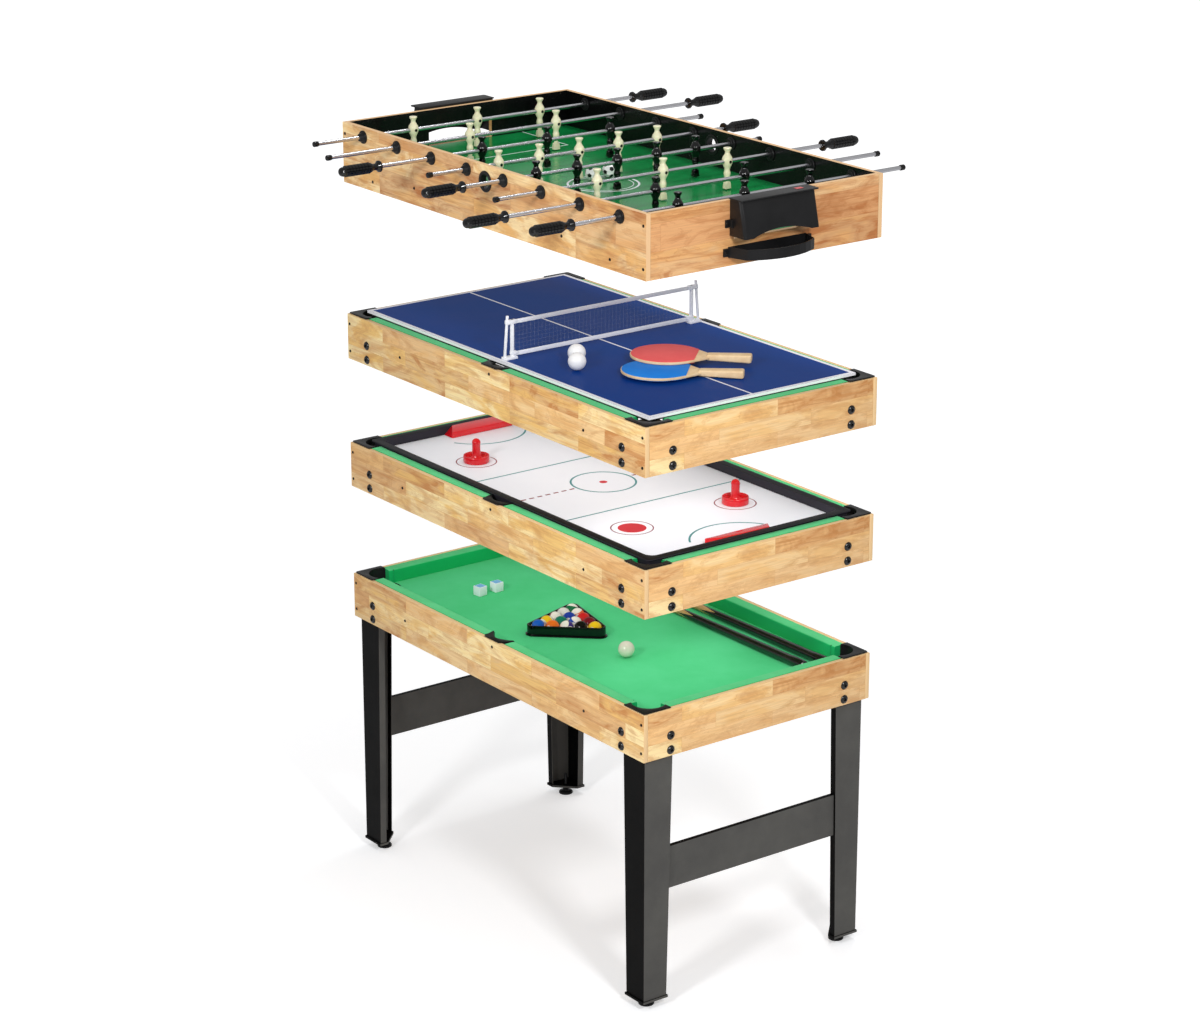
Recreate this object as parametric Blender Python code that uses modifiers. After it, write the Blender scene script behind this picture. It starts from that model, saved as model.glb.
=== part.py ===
"""Multi game table: four game boxes, shown lifted apart over one legged base.

From the floor up: a billiards box on four angle-iron legs, a push hockey box,
a table tennis box and a foosball box. The three upper boxes lift off the stack.
Metres, +Z up. The origin is on the floor under the centre of the table,
+X runs along the long side and the near long side faces -Y.
"""
import math

import bmesh
import bpy
from mathutils import Matrix

# Overall sizes
TABLE_LENGTH = 1.22
TABLE_WIDTH = 0.68
FLOOR_TO_BOX = 0.64
GAME_BOX_HEIGHT = 0.116
FOOSBALL_BOX_HEIGHT = 0.150
PANEL = 0.012

# Height that each upper box is lifted clear of the one below
HOCKEY_LIFT = 0.234
TENNIS_LIFT = 0.219
FOOSBALL_LIFT = 0.334

# Clearances, cutter overrun and mesh limits
GAP = 0.0003
RUNNING_GAP = 0.0006
OVERRUN = 0.002
MERGE_DISTANCE = 0.00001
SHARP_ANGLE = math.radians(35)

# Cushion rim with its corner and middle covers
CUSHION_WIDTH = 0.030
CUSHION_PROUD = 0.0008
COVER_THICKNESS = 0.003
COVER_ARM = 0.080
COVER_WIDTH = 0.036
COVER_MARGIN = 0.003
MIDDLE_COVER_LENGTH = 0.060
MIDDLE_COVER_INNER_LENGTH = 0.088
POCKET_RADIUS = 0.040
POCKET_WALL = 0.0015
POCKET_DEPTH = 0.078
POCKET_SIDES = 18
POCKET_EDGE = 0.003
MIDDLE_POCKET_RADIUS = 0.026
MOUTH_DEPTH = 0.020
MOUTH_HORN = 0.004
MOUTH_SIDES = 48

# Billiards bed
BED_DEPTH = 0.035
BED_THICKNESS = 0.009

# Legs, cross rails and levelling feet
LEG_TOP_WIDTH = 0.082
LEG_FOOT_WIDTH = 0.067
LEG_SHEET = 0.002
LEG_LIP = 0.018
LEG_TUCK = 0.070
LEG_FOOT_HEIGHT = 0.026
CAP_THICKNESS = 0.006
CAP_OVERHANG = 0.003
RAIL_HEIGHT = 0.106
RAIL_BOTTOM = 0.297
RAIL_THICKNESS = 0.012
LEVELLER_RADIUS = 0.019
LEVELLER_RIM = 0.007
LEVELLER_NECK_RADIUS = 0.008
LEVELLER_NECK = 0.005
STEM_RADIUS = 0.004
STEM_LENGTH = 0.030
LEVELLER_SIDES = 12

# Billiards accessories
RACK_SIDE = 0.218
RACK_HEIGHT = 0.026
RACK_WALL = 0.005
RACK_CORNER = 0.016
RACK_CORNER_STEPS = 4
RACK_CENTRE = (-0.030, -0.085)
RACK_TURN = math.radians(47.7)
CUE_END_SPACE = 0.040
CUE_TIP_SPACES = (0.013, 0.028)
CUE_WALL_SPACES = (0.102, 0.044)
CUE_TIP_RADIUS = 0.0045
CUE_BUTT_RADIUS = 0.0128
CUE_BUTT_SHARE = 0.45
CUE_SIDES = 10

# Hockey top and pushers
TOP_END_INSET = 0.023
TOP_SIDE_INSET = 0.025
TUB_CLEARANCE = 0.002
HOCKEY_LIP_RISE = 0.003
HOCKEY_LIP_WIDTH = 0.021
HOCKEY_BED_DEPTH = 0.021
HOCKEY_FLOOR = 0.005
HOCKEY_GOAL_HALF_WIDTH = 0.094
HOCKEY_GOAL_REACH = 0.038
HOCKEY_GOAL_HEIGHT = 0.022
HOCKEY_GOAL_FRONT = 0.015
HOCKEY_GOAL_BACK_SHARE = 0.72
PUSHER_RADIUS = 0.033
PUSHER_HEIGHT = 0.061
PUSHER_RIM_HEIGHT = 0.018
PUSHER_DISH = 0.006
PUSHER_WALL = 0.004
PUSHER_KNOB_RADIUS = 0.0125
PUSHER_WAIST_RADIUS = 0.0110
PUSHER_SPOT = (0.320, 0.155)
PUSHER_SIDES = 18

# Table tennis board, net and paddles
BOARD_THICKNESS = 0.006
NET_HEIGHT = 0.102
NET_INSET = 0.011
NET_POST = 0.008
NET_TAPE = 0.012
NET_TAPE_THICKNESS = 0.002
NET_THREAD = 0.0012
NET_COLUMNS = 30
NET_ROWS = 4
NET_FOOT_LENGTH = 0.036
NET_FOOT_HEIGHT = 0.006
PADDLE_LENGTH = 0.288
PADDLE_HEAD_RADIUS = 0.080
PADDLE_HEAD_LENGTH = 0.172
PADDLE_BLADE = 0.008
PADDLE_GRIP_WIDTH = 0.029
PADDLE_GRIP_THICKNESS = 0.020
PADDLE_GRIP_LENGTH = 0.106
PADDLE_GRIP_BEVEL = 0.005
PADDLE_NECK_DEGREES = 42
PADDLE_STEP_DEGREES = 23
BLUE_PADDLE = (0.354, -0.036)
BLUE_PADDLE_TURN = math.radians(45.0)
RED_PADDLE = (0.284, 0.044)
RED_PADDLE_TURN = math.radians(44.0)

# Foosball box
FIELD_DEPTH = 0.090
FIELD_THICKNESS = 0.006
ROD_COUNT = 8
ROD_SPACING_SHARE = 0.1233
ROD_DEPTH = 0.0225
ENTRY_RADIUS = 0.020
ENTRY_DEPTH = 0.0385
GOAL_HALF_WIDTH = 0.095
GOAL_HEIGHT = 0.050

# Rods: men on each, their spacing as a share of the inner width, each rod's push at rest
MEN_ON_ROD = (3, 2, 3, 5, 5, 3, 2, 3)
MEN_SPACING_SHARES = {2: 0.393, 3: 0.290, 5: 0.178}
ROD_PUSH = (-0.005, 0.0, -0.005, -0.017, -0.015, 0.007, 0.0, 0.010)
HANDLE_FAR_SIDE = (True, True, False, True, False, True, False, False)
ROD_RADIUS = 0.005
ROD_SIDES = 10
CAP_RADIUS = 0.0065
CAP_LENGTH = 0.012
MAN_MARGIN = 0.013
CAP_MARGIN = 0.008
HANDLE_MARGIN = 0.021

# Men, measured from the rod's axis
MAN_HEAD_TOP = 0.033
MAN_FOOT = 0.065
MAN_SHOULDER_RADIUS = 0.0135
MAN_SHOULDER_TOP = 0.0072
MAN_CHEST_RADIUS = 0.0122
MAN_CHEST_BOTTOM = 0.0063
MAN_HIP_RADIUS = 0.0100
MAN_HEAD_RADIUS = 0.0075
MAN_NECK_RADIUS = 0.0048
MAN_WAIST_RADIUS = 0.0066
MAN_ANKLE_RADIUS = 0.0052
FOOT_LENGTH = 0.013
FOOT_WIDTH = 0.018
FOOT_HEIGHT = 0.016
MAN_SIDES = 6
MAN_CHIN_SHARE = 0.68
MAN_NECK_SHARE = 0.56
MAN_WAIST_SHARE = 0.24
MAN_HIP_SHARE = 0.42

# Handles and bushings
HANDLE_LENGTH = 0.113
HANDLE_RADIUS = 0.0135
HANDLE_FLANGE_RADIUS = 0.0140
HANDLE_WAIST_RADIUS = 0.0080
HANDLE_BORE_DEPTH = 0.070
HANDLE_GRIP_SHARE = 0.92
HANDLE_FACE_SHARE = 0.8
HANDLE_SIDES = 10
BUSHING_FLANGE_RADIUS = 0.0160
BUSHING_COLLAR_RADIUS = 0.0115
BUSHING_BARREL_RADIUS = 0.0110
BUSHING_FLANGE = 0.005
BUSHING_COLLAR = 0.009
BUSHING_NUT = 0.007
BUSHING_COLLAR_SHARE = 0.8
BUSHING_SIDES = 12

# Goal hood and ball tray on each end
HOOD_HALF_WIDTH = 0.108
HOOD_TOP_RISE = 0.004
HOOD_DROP = 0.085
HOOD_TOP_REACH = 0.036
HOOD_FOOT_REACH = 0.056
HOOD_WALL = 0.0025
HOOD_LID = 0.003
HOOD_LID_OVERHANG = 0.009
HOOD_WAVE = 0.014
HOOD_WAVE_SIDES = 48
HOOD_WAVE_REACH = 0.084
HOOD_EAR_SHARE = 0.667
EAR_WIDTH = 0.014
EAR_HEIGHT = 0.018
EAR_THICKNESS = 0.004
TRAY_HALF_WIDTH = 0.112
TRAY_REACH = 0.078
TRAY_BOTTOM = 0.020
TRAY_HEIGHT = 0.024
TRAY_WALL = 0.0025
TRAY_FLOOR = 0.0025
TRAY_SHOULDER_REACH = 0.050
TRAY_SHOULDER_INSET = 0.016
TRAY_CURVE_STEPS = 9

# Places worked out from the sizes above
HALF_LENGTH = TABLE_LENGTH / 2
HALF_WIDTH = TABLE_WIDTH / 2
INNER_LENGTH = HALF_LENGTH - PANEL
INNER_WIDTH = HALF_WIDTH - PANEL
TOP_HALF_LENGTH = INNER_LENGTH - TOP_END_INSET
TOP_HALF_WIDTH = INNER_WIDTH - TOP_SIDE_INSET
NET_HALF_SPAN = TOP_HALF_WIDTH - NET_INSET
ROD_SPACING = 2 * INNER_LENGTH * ROD_SPACING_SHARE
BASE_RIM = FLOOR_TO_BOX + GAME_BOX_HEIGHT
HOCKEY_FLOOR_Z = BASE_RIM + HOCKEY_LIFT
HOCKEY_RIM = HOCKEY_FLOOR_Z + GAME_BOX_HEIGHT
TENNIS_FLOOR_Z = HOCKEY_RIM + TENNIS_LIFT
TENNIS_RIM = TENNIS_FLOOR_Z + GAME_BOX_HEIGHT
FOOSBALL_FLOOR_Z = TENNIS_RIM + FOOSBALL_LIFT
FOOSBALL_RIM = FOOSBALL_FLOOR_Z + FOOSBALL_BOX_HEIGHT
FIELD_TOP = FOOSBALL_RIM - FIELD_DEPTH
ROD_Z = FOOSBALL_RIM - ROD_DEPTH
COVER_TOP = GAP + COVER_THICKNESS
CUSHION_INNER_X = INNER_LENGTH - CUSHION_WIDTH
CUSHION_INNER_Y = INNER_WIDTH - CUSHION_WIDTH
POCKET_OUTER = POCKET_RADIUS + POCKET_WALL
POCKET_X = INNER_LENGTH - GAP - POCKET_OUTER - POCKET_EDGE
POCKET_Y = INNER_WIDTH - GAP - POCKET_OUTER - POCKET_EDGE
MIDDLE_OUTER = MIDDLE_POCKET_RADIUS + POCKET_WALL
MIDDLE_POCKET_Y = INNER_WIDTH - GAP - MIDDLE_OUTER - POCKET_EDGE
MOUTH_HALF = MIDDLE_COVER_INNER_LENGTH / 2 - MOUTH_HORN
MOUTH_RADIUS = (MOUTH_HALF ** 2 + MOUTH_DEPTH ** 2) / (2 * MOUTH_DEPTH)
MOUTH_Y = HALF_WIDTH - COVER_MARGIN - COVER_WIDTH + MOUTH_DEPTH - MOUTH_RADIUS
CUE_LENGTH = 2 * CUSHION_INNER_X - CUE_END_SPACE
BUSHING_HOLE = BUSHING_BARREL_RADIUS + RUNNING_GAP
ROD_BORE = ROD_RADIUS + RUNNING_GAP

LIE_ALONG_Y = Matrix.Rotation(math.radians(-90), 4, 'X')


def clear_scene():
    for obj in list(bpy.data.objects):
        bpy.data.objects.remove(obj, do_unlink=True)


def new_collection(name):
    collection = bpy.data.collections.new(name)
    bpy.context.scene.collection.children.link(collection)
    return collection


def new_material(name, color, roughness, metallic=0.0):
    material = bpy.data.materials.new(name)
    material.use_nodes = True
    shader = material.node_tree.nodes["Principled BSDF"]
    shader.inputs["Base Color"].default_value = (*color, 1)
    shader.inputs["Roughness"].default_value = roughness
    shader.inputs["Metallic"].default_value = metallic
    material.diffuse_color = (*color, 1)
    return material


def add_part(name, mesh, material, place=(0, 0, 0), turn=0.0, smooth=False):
    """Put a mesh in the table's collection as one named piece."""
    if material.name not in mesh.materials:
        mesh.materials.append(material)
    if smooth:
        mesh.shade_smooth()
        mesh.set_sharp_from_angle(angle=SHARP_ANGLE)
    obj = bpy.data.objects.new(name, mesh)
    obj.location = place
    obj.rotation_euler = (0, 0, turn)
    TABLE.objects.link(obj)
    return obj


def add_tool(name, mesh, place=(0, 0, 0), turn=0.0):
    """Put a mesh in the cutters' collection, where it shapes another piece."""
    obj = bpy.data.objects.new(name, mesh)
    obj.location = place
    obj.rotation_euler = (0, 0, turn)
    obj.hide_render = True
    obj.display_type = 'WIRE'
    TOOLS.objects.link(obj)
    return obj


def boolean(target, tool, operation='DIFFERENCE'):
    modifier = target.modifiers.new(f"{operation.title()} {tool.name}", 'BOOLEAN')
    modifier.operation = operation
    modifier.object = tool
    modifier.solver = 'EXACT'


def block_mesh(size, centre=(0, 0, 0)):
    mesh = bpy.data.meshes.new("block")
    bm = bmesh.new()
    bmesh.ops.create_cube(bm, size=1)
    bmesh.ops.scale(bm, vec=size, verts=bm.verts)
    bmesh.ops.translate(bm, vec=centre, verts=bm.verts)
    bm.to_mesh(mesh)
    bm.free()
    return mesh


def drum_mesh(radius, length, sides, centre=(0, 0, 0), along_y=False):
    mesh = bpy.data.meshes.new("drum")
    bm = bmesh.new()
    bmesh.ops.create_cone(bm, cap_ends=True, segments=sides, radius1=radius,
                          radius2=radius, depth=length)
    if along_y:
        bmesh.ops.transform(bm, matrix=LIE_ALONG_Y, verts=bm.verts)
    bmesh.ops.translate(bm, vec=centre, verts=bm.verts)
    bm.to_mesh(mesh)
    bm.free()
    return mesh


def evaluated_mesh(obj):
    """The mesh of an object with its modifiers applied; the object is removed."""
    depsgraph = bpy.context.evaluated_depsgraph_get()
    mesh = bpy.data.meshes.new_from_object(obj.evaluated_get(depsgraph))
    bpy.data.objects.remove(obj, do_unlink=True)
    return mesh


def turned_mesh(profile, sides, closed=False):
    """Turn (radius, height) points about Z. They run down the outer side."""
    mesh = bpy.data.meshes.new("profile")
    points = [(radius, 0, height) for radius, height in profile]
    edges = [(i, i + 1) for i in range(len(points) - 1)]
    if closed:
        edges.append((len(points) - 1, 0))
    mesh.from_pydata(points, edges, [])
    obj = bpy.data.objects.new("turned", mesh)
    TOOLS.objects.link(obj)
    screw = obj.modifiers.new("Screw", 'SCREW')
    screw.steps = sides
    screw.render_steps = sides
    screw.use_merge_vertices = True
    screw.merge_threshold = MERGE_DISTANCE
    return evaluated_mesh(obj)


def outline_mesh(points, thickness):
    """A flat outline in XY, filled and given a thickness centred on Z = 0."""
    curve = bpy.data.curves.new("outline", 'CURVE')
    curve.dimensions = '2D'
    curve.fill_mode = 'BOTH'
    curve.extrude = thickness / 2
    spline = curve.splines.new('POLY')
    spline.points.add(len(points) - 1)
    for spline_point, (x, y) in zip(spline.points, points):
        spline_point.co = (x, y, 0, 1)
    spline.use_cyclic_u = True
    obj = bpy.data.objects.new("outline", curve)
    TOOLS.objects.link(obj)
    mesh = evaluated_mesh(obj)
    bm = bmesh.new()
    bm.from_mesh(mesh)
    bmesh.ops.remove_doubles(bm, verts=bm.verts, dist=MERGE_DISTANCE)
    bmesh.ops.recalc_face_normals(bm, faces=bm.faces)
    bm.to_mesh(mesh)
    bm.free()
    return mesh


def arc_points(centre, radius, start_degrees, end_degrees, steps):
    points = []
    for i in range(steps + 1):
        angle = math.radians(start_degrees + (end_degrees - start_degrees) * i / steps)
        points.append((centre[0] + radius * math.cos(angle), centre[1] + radius * math.sin(angle)))
    return points


def joined_copies(mesh, places):
    """One mesh holding a copy of another at each place."""
    joined = bpy.data.meshes.new("copies")
    bm = bmesh.new()
    for place in places:
        copy = mesh.copy()
        copy.transform(Matrix.Translation(place))
        bm.from_mesh(copy)
        bpy.data.meshes.remove(copy)
    bm.to_mesh(joined)
    bm.free()
    return joined


def corner_places(x, y, z):
    return [(sx * x, sy * y, z) for sx in (-1, 1) for sy in (-1, 1)]


def add_frame(name, floor):
    """The four glued boards round a game box, as one ring."""
    middle = (0, 0, floor + GAME_BOX_HEIGHT / 2)
    outer = block_mesh((TABLE_LENGTH, TABLE_WIDTH, GAME_BOX_HEIGHT), middle)
    frame = add_part(name, outer, WOOD)
    inner = block_mesh((2 * INNER_LENGTH, 2 * INNER_WIDTH, GAME_BOX_HEIGHT + 2 * OVERRUN), middle)
    boolean(frame, add_tool(f"{name} hollow", inner))
    return frame


def corner_cover_outline():
    """An L in the corner at +X +Y, with its inner angle chamfered."""
    outer_x = HALF_LENGTH - COVER_MARGIN
    outer_y = HALF_WIDTH - COVER_MARGIN
    arm = COVER_ARM - COVER_MARGIN
    return [
        (outer_x, outer_y),
        (outer_x - arm, outer_y),
        (outer_x - arm, outer_y - COVER_WIDTH),
        (outer_x - COVER_WIDTH, outer_y - arm),
        (outer_x, outer_y - arm),
    ]


def middle_cover_outline():
    """A cover at +Y that is longer on the bed's side."""
    outer_y = HALF_WIDTH - COVER_MARGIN
    half = MIDDLE_COVER_LENGTH / 2
    inner_half = MIDDLE_COVER_INNER_LENGTH / 2
    return [
        (half, outer_y),
        (-half, outer_y),
        (-inner_half, outer_y - COVER_WIDTH),
        (inner_half, outer_y - COVER_WIDTH),
    ]


def covers_mesh():
    """The four corner covers and two middle covers, lying on Z = 0."""
    corner = outline_mesh(corner_cover_outline(), COVER_THICKNESS)
    middle = outline_mesh(middle_cover_outline(), COVER_THICKNESS)
    covers = bpy.data.meshes.new("covers")
    bm = bmesh.new()
    for sx in (-1, 1):
        for sy in (-1, 1):
            copy = corner.copy()
            copy.transform(Matrix.Diagonal((sx, sy, 1, 1)))
            if sx * sy < 0:
                copy.flip_normals()
            bm.from_mesh(copy)
    for turn in (0, math.pi):
        copy = middle.copy()
        copy.transform(Matrix.Rotation(turn, 4, 'Z'))
        bm.from_mesh(copy)
    bm.to_mesh(covers)
    bm.free()
    return covers


def pocket_places(z):
    return corner_places(POCKET_X, POCKET_Y, z) + [(0, -MIDDLE_POCKET_Y, z), (0, MIDDLE_POCKET_Y, z)]


def drums(radius, sides, low, high, places):
    drum = drum_mesh(radius, high - low, sides, (0, 0, (high + low) / 2))
    return joined_copies(drum, places)


def pocket_drums(name, radius, middle_radius, low, high, place):
    """A drum at each of the six pockets, as one tool; the two middle ones are smaller."""
    places = pocket_places(0)
    tool = drums(radius, POCKET_SIDES, low, high, places[:4])
    bm = bmesh.new()
    bm.from_mesh(tool)
    bm.from_mesh(drums(middle_radius, POCKET_SIDES, low, high, places[4:]))
    bm.to_mesh(tool)
    bm.free()
    return add_tool(name, tool, place)


def add_rim(name, rim_z, pockets=False):
    """Cushions inside the frame with the corner and middle covers on top."""
    place = (0, 0, rim_z)
    height = BED_DEPTH - GAP + CUSHION_PROUD
    size = (2 * (INNER_LENGTH - GAP), 2 * (INNER_WIDTH - GAP), height)
    rim = add_part(name, block_mesh(size, (0, 0, CUSHION_PROUD - height / 2)), FELT_RAIL, place)
    covers = covers_mesh()
    covers.transform(Matrix.Translation((0, 0, GAP + COVER_THICKNESS / 2)))
    boolean(rim, add_tool(f"{name} covers", covers, place), 'UNION')
    if pockets:
        cups = pocket_drums(f"{name} cups", POCKET_OUTER, MIDDLE_OUTER, -POCKET_DEPTH, 0, place)
        boolean(rim, cups, 'UNION')
    low = -BED_DEPTH - OVERRUN
    high = COVER_TOP + OVERRUN
    opening = block_mesh((2 * CUSHION_INNER_X, 2 * CUSHION_INNER_Y, high - low),
                         (0, 0, (high + low) / 2))
    boolean(rim, add_tool(f"{name} opening", opening, place))
    mouths = drums(MOUTH_RADIUS, MOUTH_SIDES, -BED_DEPTH + GAP, high, [(0, -MOUTH_Y, 0), (0, MOUTH_Y, 0)])
    boolean(rim, add_tool(f"{name} mouths", mouths, place))
    if pockets:
        wells = pocket_drums(f"{name} wells", POCKET_RADIUS, MIDDLE_POCKET_RADIUS, POCKET_WALL - POCKET_DEPTH,
                             high, place)
        boolean(rim, wells)
    return rim


def add_billiards_bed():
    size = (2 * (INNER_LENGTH - GAP), 2 * (INNER_WIDTH - GAP), BED_THICKNESS)
    top = BASE_RIM - BED_DEPTH
    bed = add_part("billiards_bed", block_mesh(size, (0, 0, top - BED_THICKNESS / 2)), FELT)
    holes = pocket_drums("bed pocket holes", POCKET_OUTER + RUNNING_GAP, MIDDLE_OUTER + RUNNING_GAP,
                         top - BED_THICKNESS - OVERRUN, top + OVERRUN, (0, 0, 0))
    boolean(bed, holes)
    return bed


def leg_section(width):
    """Two flanges of folded sheet with their corner at (0, 0) and a lip folded in along each free edge."""
    return [(0, 0), (-width, 0), (-width, -LEG_LIP), (LEG_SHEET - width, -LEG_LIP), (LEG_SHEET - width, -LEG_SHEET),
            (-LEG_SHEET, -LEG_SHEET), (-LEG_SHEET, LEG_SHEET - width), (-LEG_LIP, LEG_SHEET - width),
            (-LEG_LIP, -width), (0, -width)]


def leg_mesh(height):
    """The folded sheet, wider at its top; it stands on Z = 0."""
    foot = leg_section(LEG_FOOT_WIDTH)
    count = len(foot)
    points = [(x, y, 0) for x, y in foot] + [(x, y, height) for x, y in leg_section(LEG_TOP_WIDTH)]
    faces = [list(range(count))[::-1], [count + i for i in range(count)]]
    for i in range(count):
        after = (i + 1) % count
        faces.append([i, after, count + after, count + i])
    mesh = bpy.data.meshes.new("leg")
    mesh.from_pydata(points, [], faces)
    return mesh


def leg_cap_outline():
    """The foot plate, with its open corner cut off from lip to lip."""
    far = LEG_FOOT_WIDTH + CAP_OVERHANG
    near = LEG_LIP + CAP_OVERHANG
    over = CAP_OVERHANG
    return [(over, over), (-far, over), (-far, -near), (-near, -far), (over, -far)]


def leveller_inset():
    return INNER_LENGTH - GAP - LEG_FOOT_WIDTH / 2, INNER_WIDTH - GAP - LEG_FOOT_WIDTH / 2


def add_leg(name, sx, sy):
    """A leg of folded sheet in the corner (sx, sy), built for +X +Y and mirrored."""
    top = FLOOR_TO_BOX + LEG_TUCK - LEG_FOOT_HEIGHT
    corner_x = INNER_LENGTH - GAP
    corner_y = INNER_WIDTH - GAP
    mirror = Matrix.Diagonal((sx, sy, 1, 1))
    sheet = leg_mesh(top)
    sheet.transform(Matrix.Translation((corner_x, corner_y, LEG_FOOT_HEIGHT)))
    cap_middle = LEG_FOOT_HEIGHT - CAP_THICKNESS / 2 + GAP
    cap = outline_mesh(leg_cap_outline(), CAP_THICKNESS)
    cap.transform(Matrix.Translation((corner_x, corner_y, cap_middle)))
    foot_x, foot_y = leveller_inset()
    hole = drum_mesh(STEM_RADIUS + RUNNING_GAP, CAP_THICKNESS + 2 * OVERRUN, LEVELLER_SIDES,
                     (foot_x, foot_y, cap_middle))
    for mesh in (sheet, cap, hole):
        mesh.transform(mirror)
        if sx * sy < 0:
            mesh.flip_normals()
    leg = add_part(name, sheet, LEG_PAINT)
    boolean(leg, add_tool(f"{name} cap", cap), 'UNION')
    boolean(leg, add_tool(f"{name} stem hole", hole))
    return leg


def leg_width(z):
    """A leg's width at a height above the floor."""
    share = (z - LEG_FOOT_HEIGHT) / (FLOOR_TO_BOX + LEG_TUCK - LEG_FOOT_HEIGHT)
    return LEG_FOOT_WIDTH + (LEG_TOP_WIDTH - LEG_FOOT_WIDTH) * share


def add_cross_rail(name, sx):
    """A flat rail between the two legs of one end, against their slanting lips."""
    inner_x = INNER_LENGTH - GAP - LEG_LIP
    high = RAIL_BOTTOM + RAIL_HEIGHT
    low_half, high_half = [INNER_WIDTH - 2 * GAP - leg_width(z) for z in (RAIL_BOTTOM, high)]
    mesh = outline_mesh([(-low_half, RAIL_BOTTOM), (low_half, RAIL_BOTTOM), (high_half, high), (-high_half, high)],
                        RAIL_THICKNESS)
    mesh.transform(Matrix.Rotation(math.radians(90), 4, 'Z') @ Matrix.Rotation(math.radians(90), 4, 'X'))
    mesh.transform(Matrix.Translation((sx * (inner_x + RAIL_THICKNESS / 2), 0, 0)))
    return add_part(name, mesh, LEG_PAINT)


def add_leveller(name, sx, sy):
    stem_top = LEG_FOOT_HEIGHT + STEM_LENGTH
    neck_top = LEVELLER_RIM + LEVELLER_NECK
    profile = [
        (0, stem_top),
        (STEM_RADIUS, stem_top),
        (STEM_RADIUS, neck_top),
        (LEVELLER_NECK_RADIUS, neck_top),
        (LEVELLER_NECK_RADIUS, LEVELLER_RIM),
        (LEVELLER_RADIUS, LEVELLER_RIM / 2),
        (LEVELLER_RADIUS, 0),
        (0, 0),
    ]
    foot_x, foot_y = leveller_inset()
    mesh = turned_mesh(profile, LEVELLER_SIDES)
    return add_part(name, mesh, BLACK_PLASTIC, (sx * foot_x, sy * foot_y, 0), smooth=True)


def rack_outline(inset):
    """A triangle with rounded corners, its front edge facing -Y."""
    circle = RACK_SIDE / (2 * math.sqrt(3)) - RACK_CORNER
    points = []
    for turn in (210, 330, 90):
        direction = math.radians(turn)
        centre = (2 * circle * math.cos(direction), 2 * circle * math.sin(direction))
        points += arc_points(centre, RACK_CORNER - inset, turn - 60, turn + 60,
                             RACK_CORNER_STEPS)
    return points


def add_rack():
    bed_top = BASE_RIM - BED_DEPTH
    place = (*RACK_CENTRE, bed_top + GAP + RACK_HEIGHT / 2)
    rack = add_part("ball_rack", outline_mesh(rack_outline(0), RACK_HEIGHT), BLACK_PLASTIC,
                    place, RACK_TURN)
    inner = outline_mesh(rack_outline(RACK_WALL), RACK_HEIGHT + 2 * OVERRUN)
    boolean(rack, add_tool("rack inside", inner, place, RACK_TURN))
    return rack


def cue_mesh():
    """A cue along +X from its tip at the origin."""
    butt_start = CUE_LENGTH * (1 - CUE_BUTT_SHARE)
    joint_radius = CUE_TIP_RADIUS + (CUE_BUTT_RADIUS - CUE_TIP_RADIUS) * (1 - CUE_BUTT_SHARE)
    profile = [
        (0, CUE_LENGTH),
        (CUE_BUTT_RADIUS, CUE_LENGTH),
        (joint_radius, butt_start),
        (CUE_TIP_RADIUS, 0),
        (0, 0),
    ]
    mesh = turned_mesh(profile, CUE_SIDES)
    mesh.transform(Matrix.Rotation(math.radians(90), 4, 'Y'))
    return mesh


def add_cue(name, tip_space, wall_space):
    """A cue rests on its butt and its tip, so it tilts by the difference."""
    tip = (tip_space - CUSHION_INNER_X, CUSHION_INNER_Y - wall_space)
    bed_top = BASE_RIM - BED_DEPTH
    mesh = cue_mesh()
    tilt = math.asin((CUE_BUTT_RADIUS - CUE_TIP_RADIUS) / CUE_LENGTH)
    mesh.transform(Matrix.Rotation(-tilt, 4, 'Y'))
    return add_part(name, mesh, CUE_WOOD, (*tip, bed_top + GAP + CUE_TIP_RADIUS), smooth=True)


def hockey_goals_mesh(wall_x, bed_height):
    """Two closed goal bars on the bed against the end walls, sloping to their fronts."""
    low = bed_height - HOCKEY_FLOOR / 2
    high = bed_height + HOCKEY_GOAL_HEIGHT
    bar = block_mesh((HOCKEY_GOAL_REACH + OVERRUN, 2 * HOCKEY_GOAL_HALF_WIDTH, high - low),
                     (wall_x - (HOCKEY_GOAL_REACH - OVERRUN) / 2, 0, (high + low) / 2))
    for vertex in bar.vertices:
        if vertex.co.z > bed_height:
            if vertex.co.x < wall_x:
                vertex.co.z = bed_height + HOCKEY_GOAL_FRONT
            else:
                vertex.co.y *= HOCKEY_GOAL_BACK_SHARE
    turned = bar.copy()
    turned.transform(Matrix.Rotation(math.pi, 4, 'Z'))
    goals = bpy.data.meshes.new("goals")
    bm = bmesh.new()
    bm.from_mesh(bar)
    bm.from_mesh(turned)
    bm.to_mesh(goals)
    bm.free()
    return goals


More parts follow.
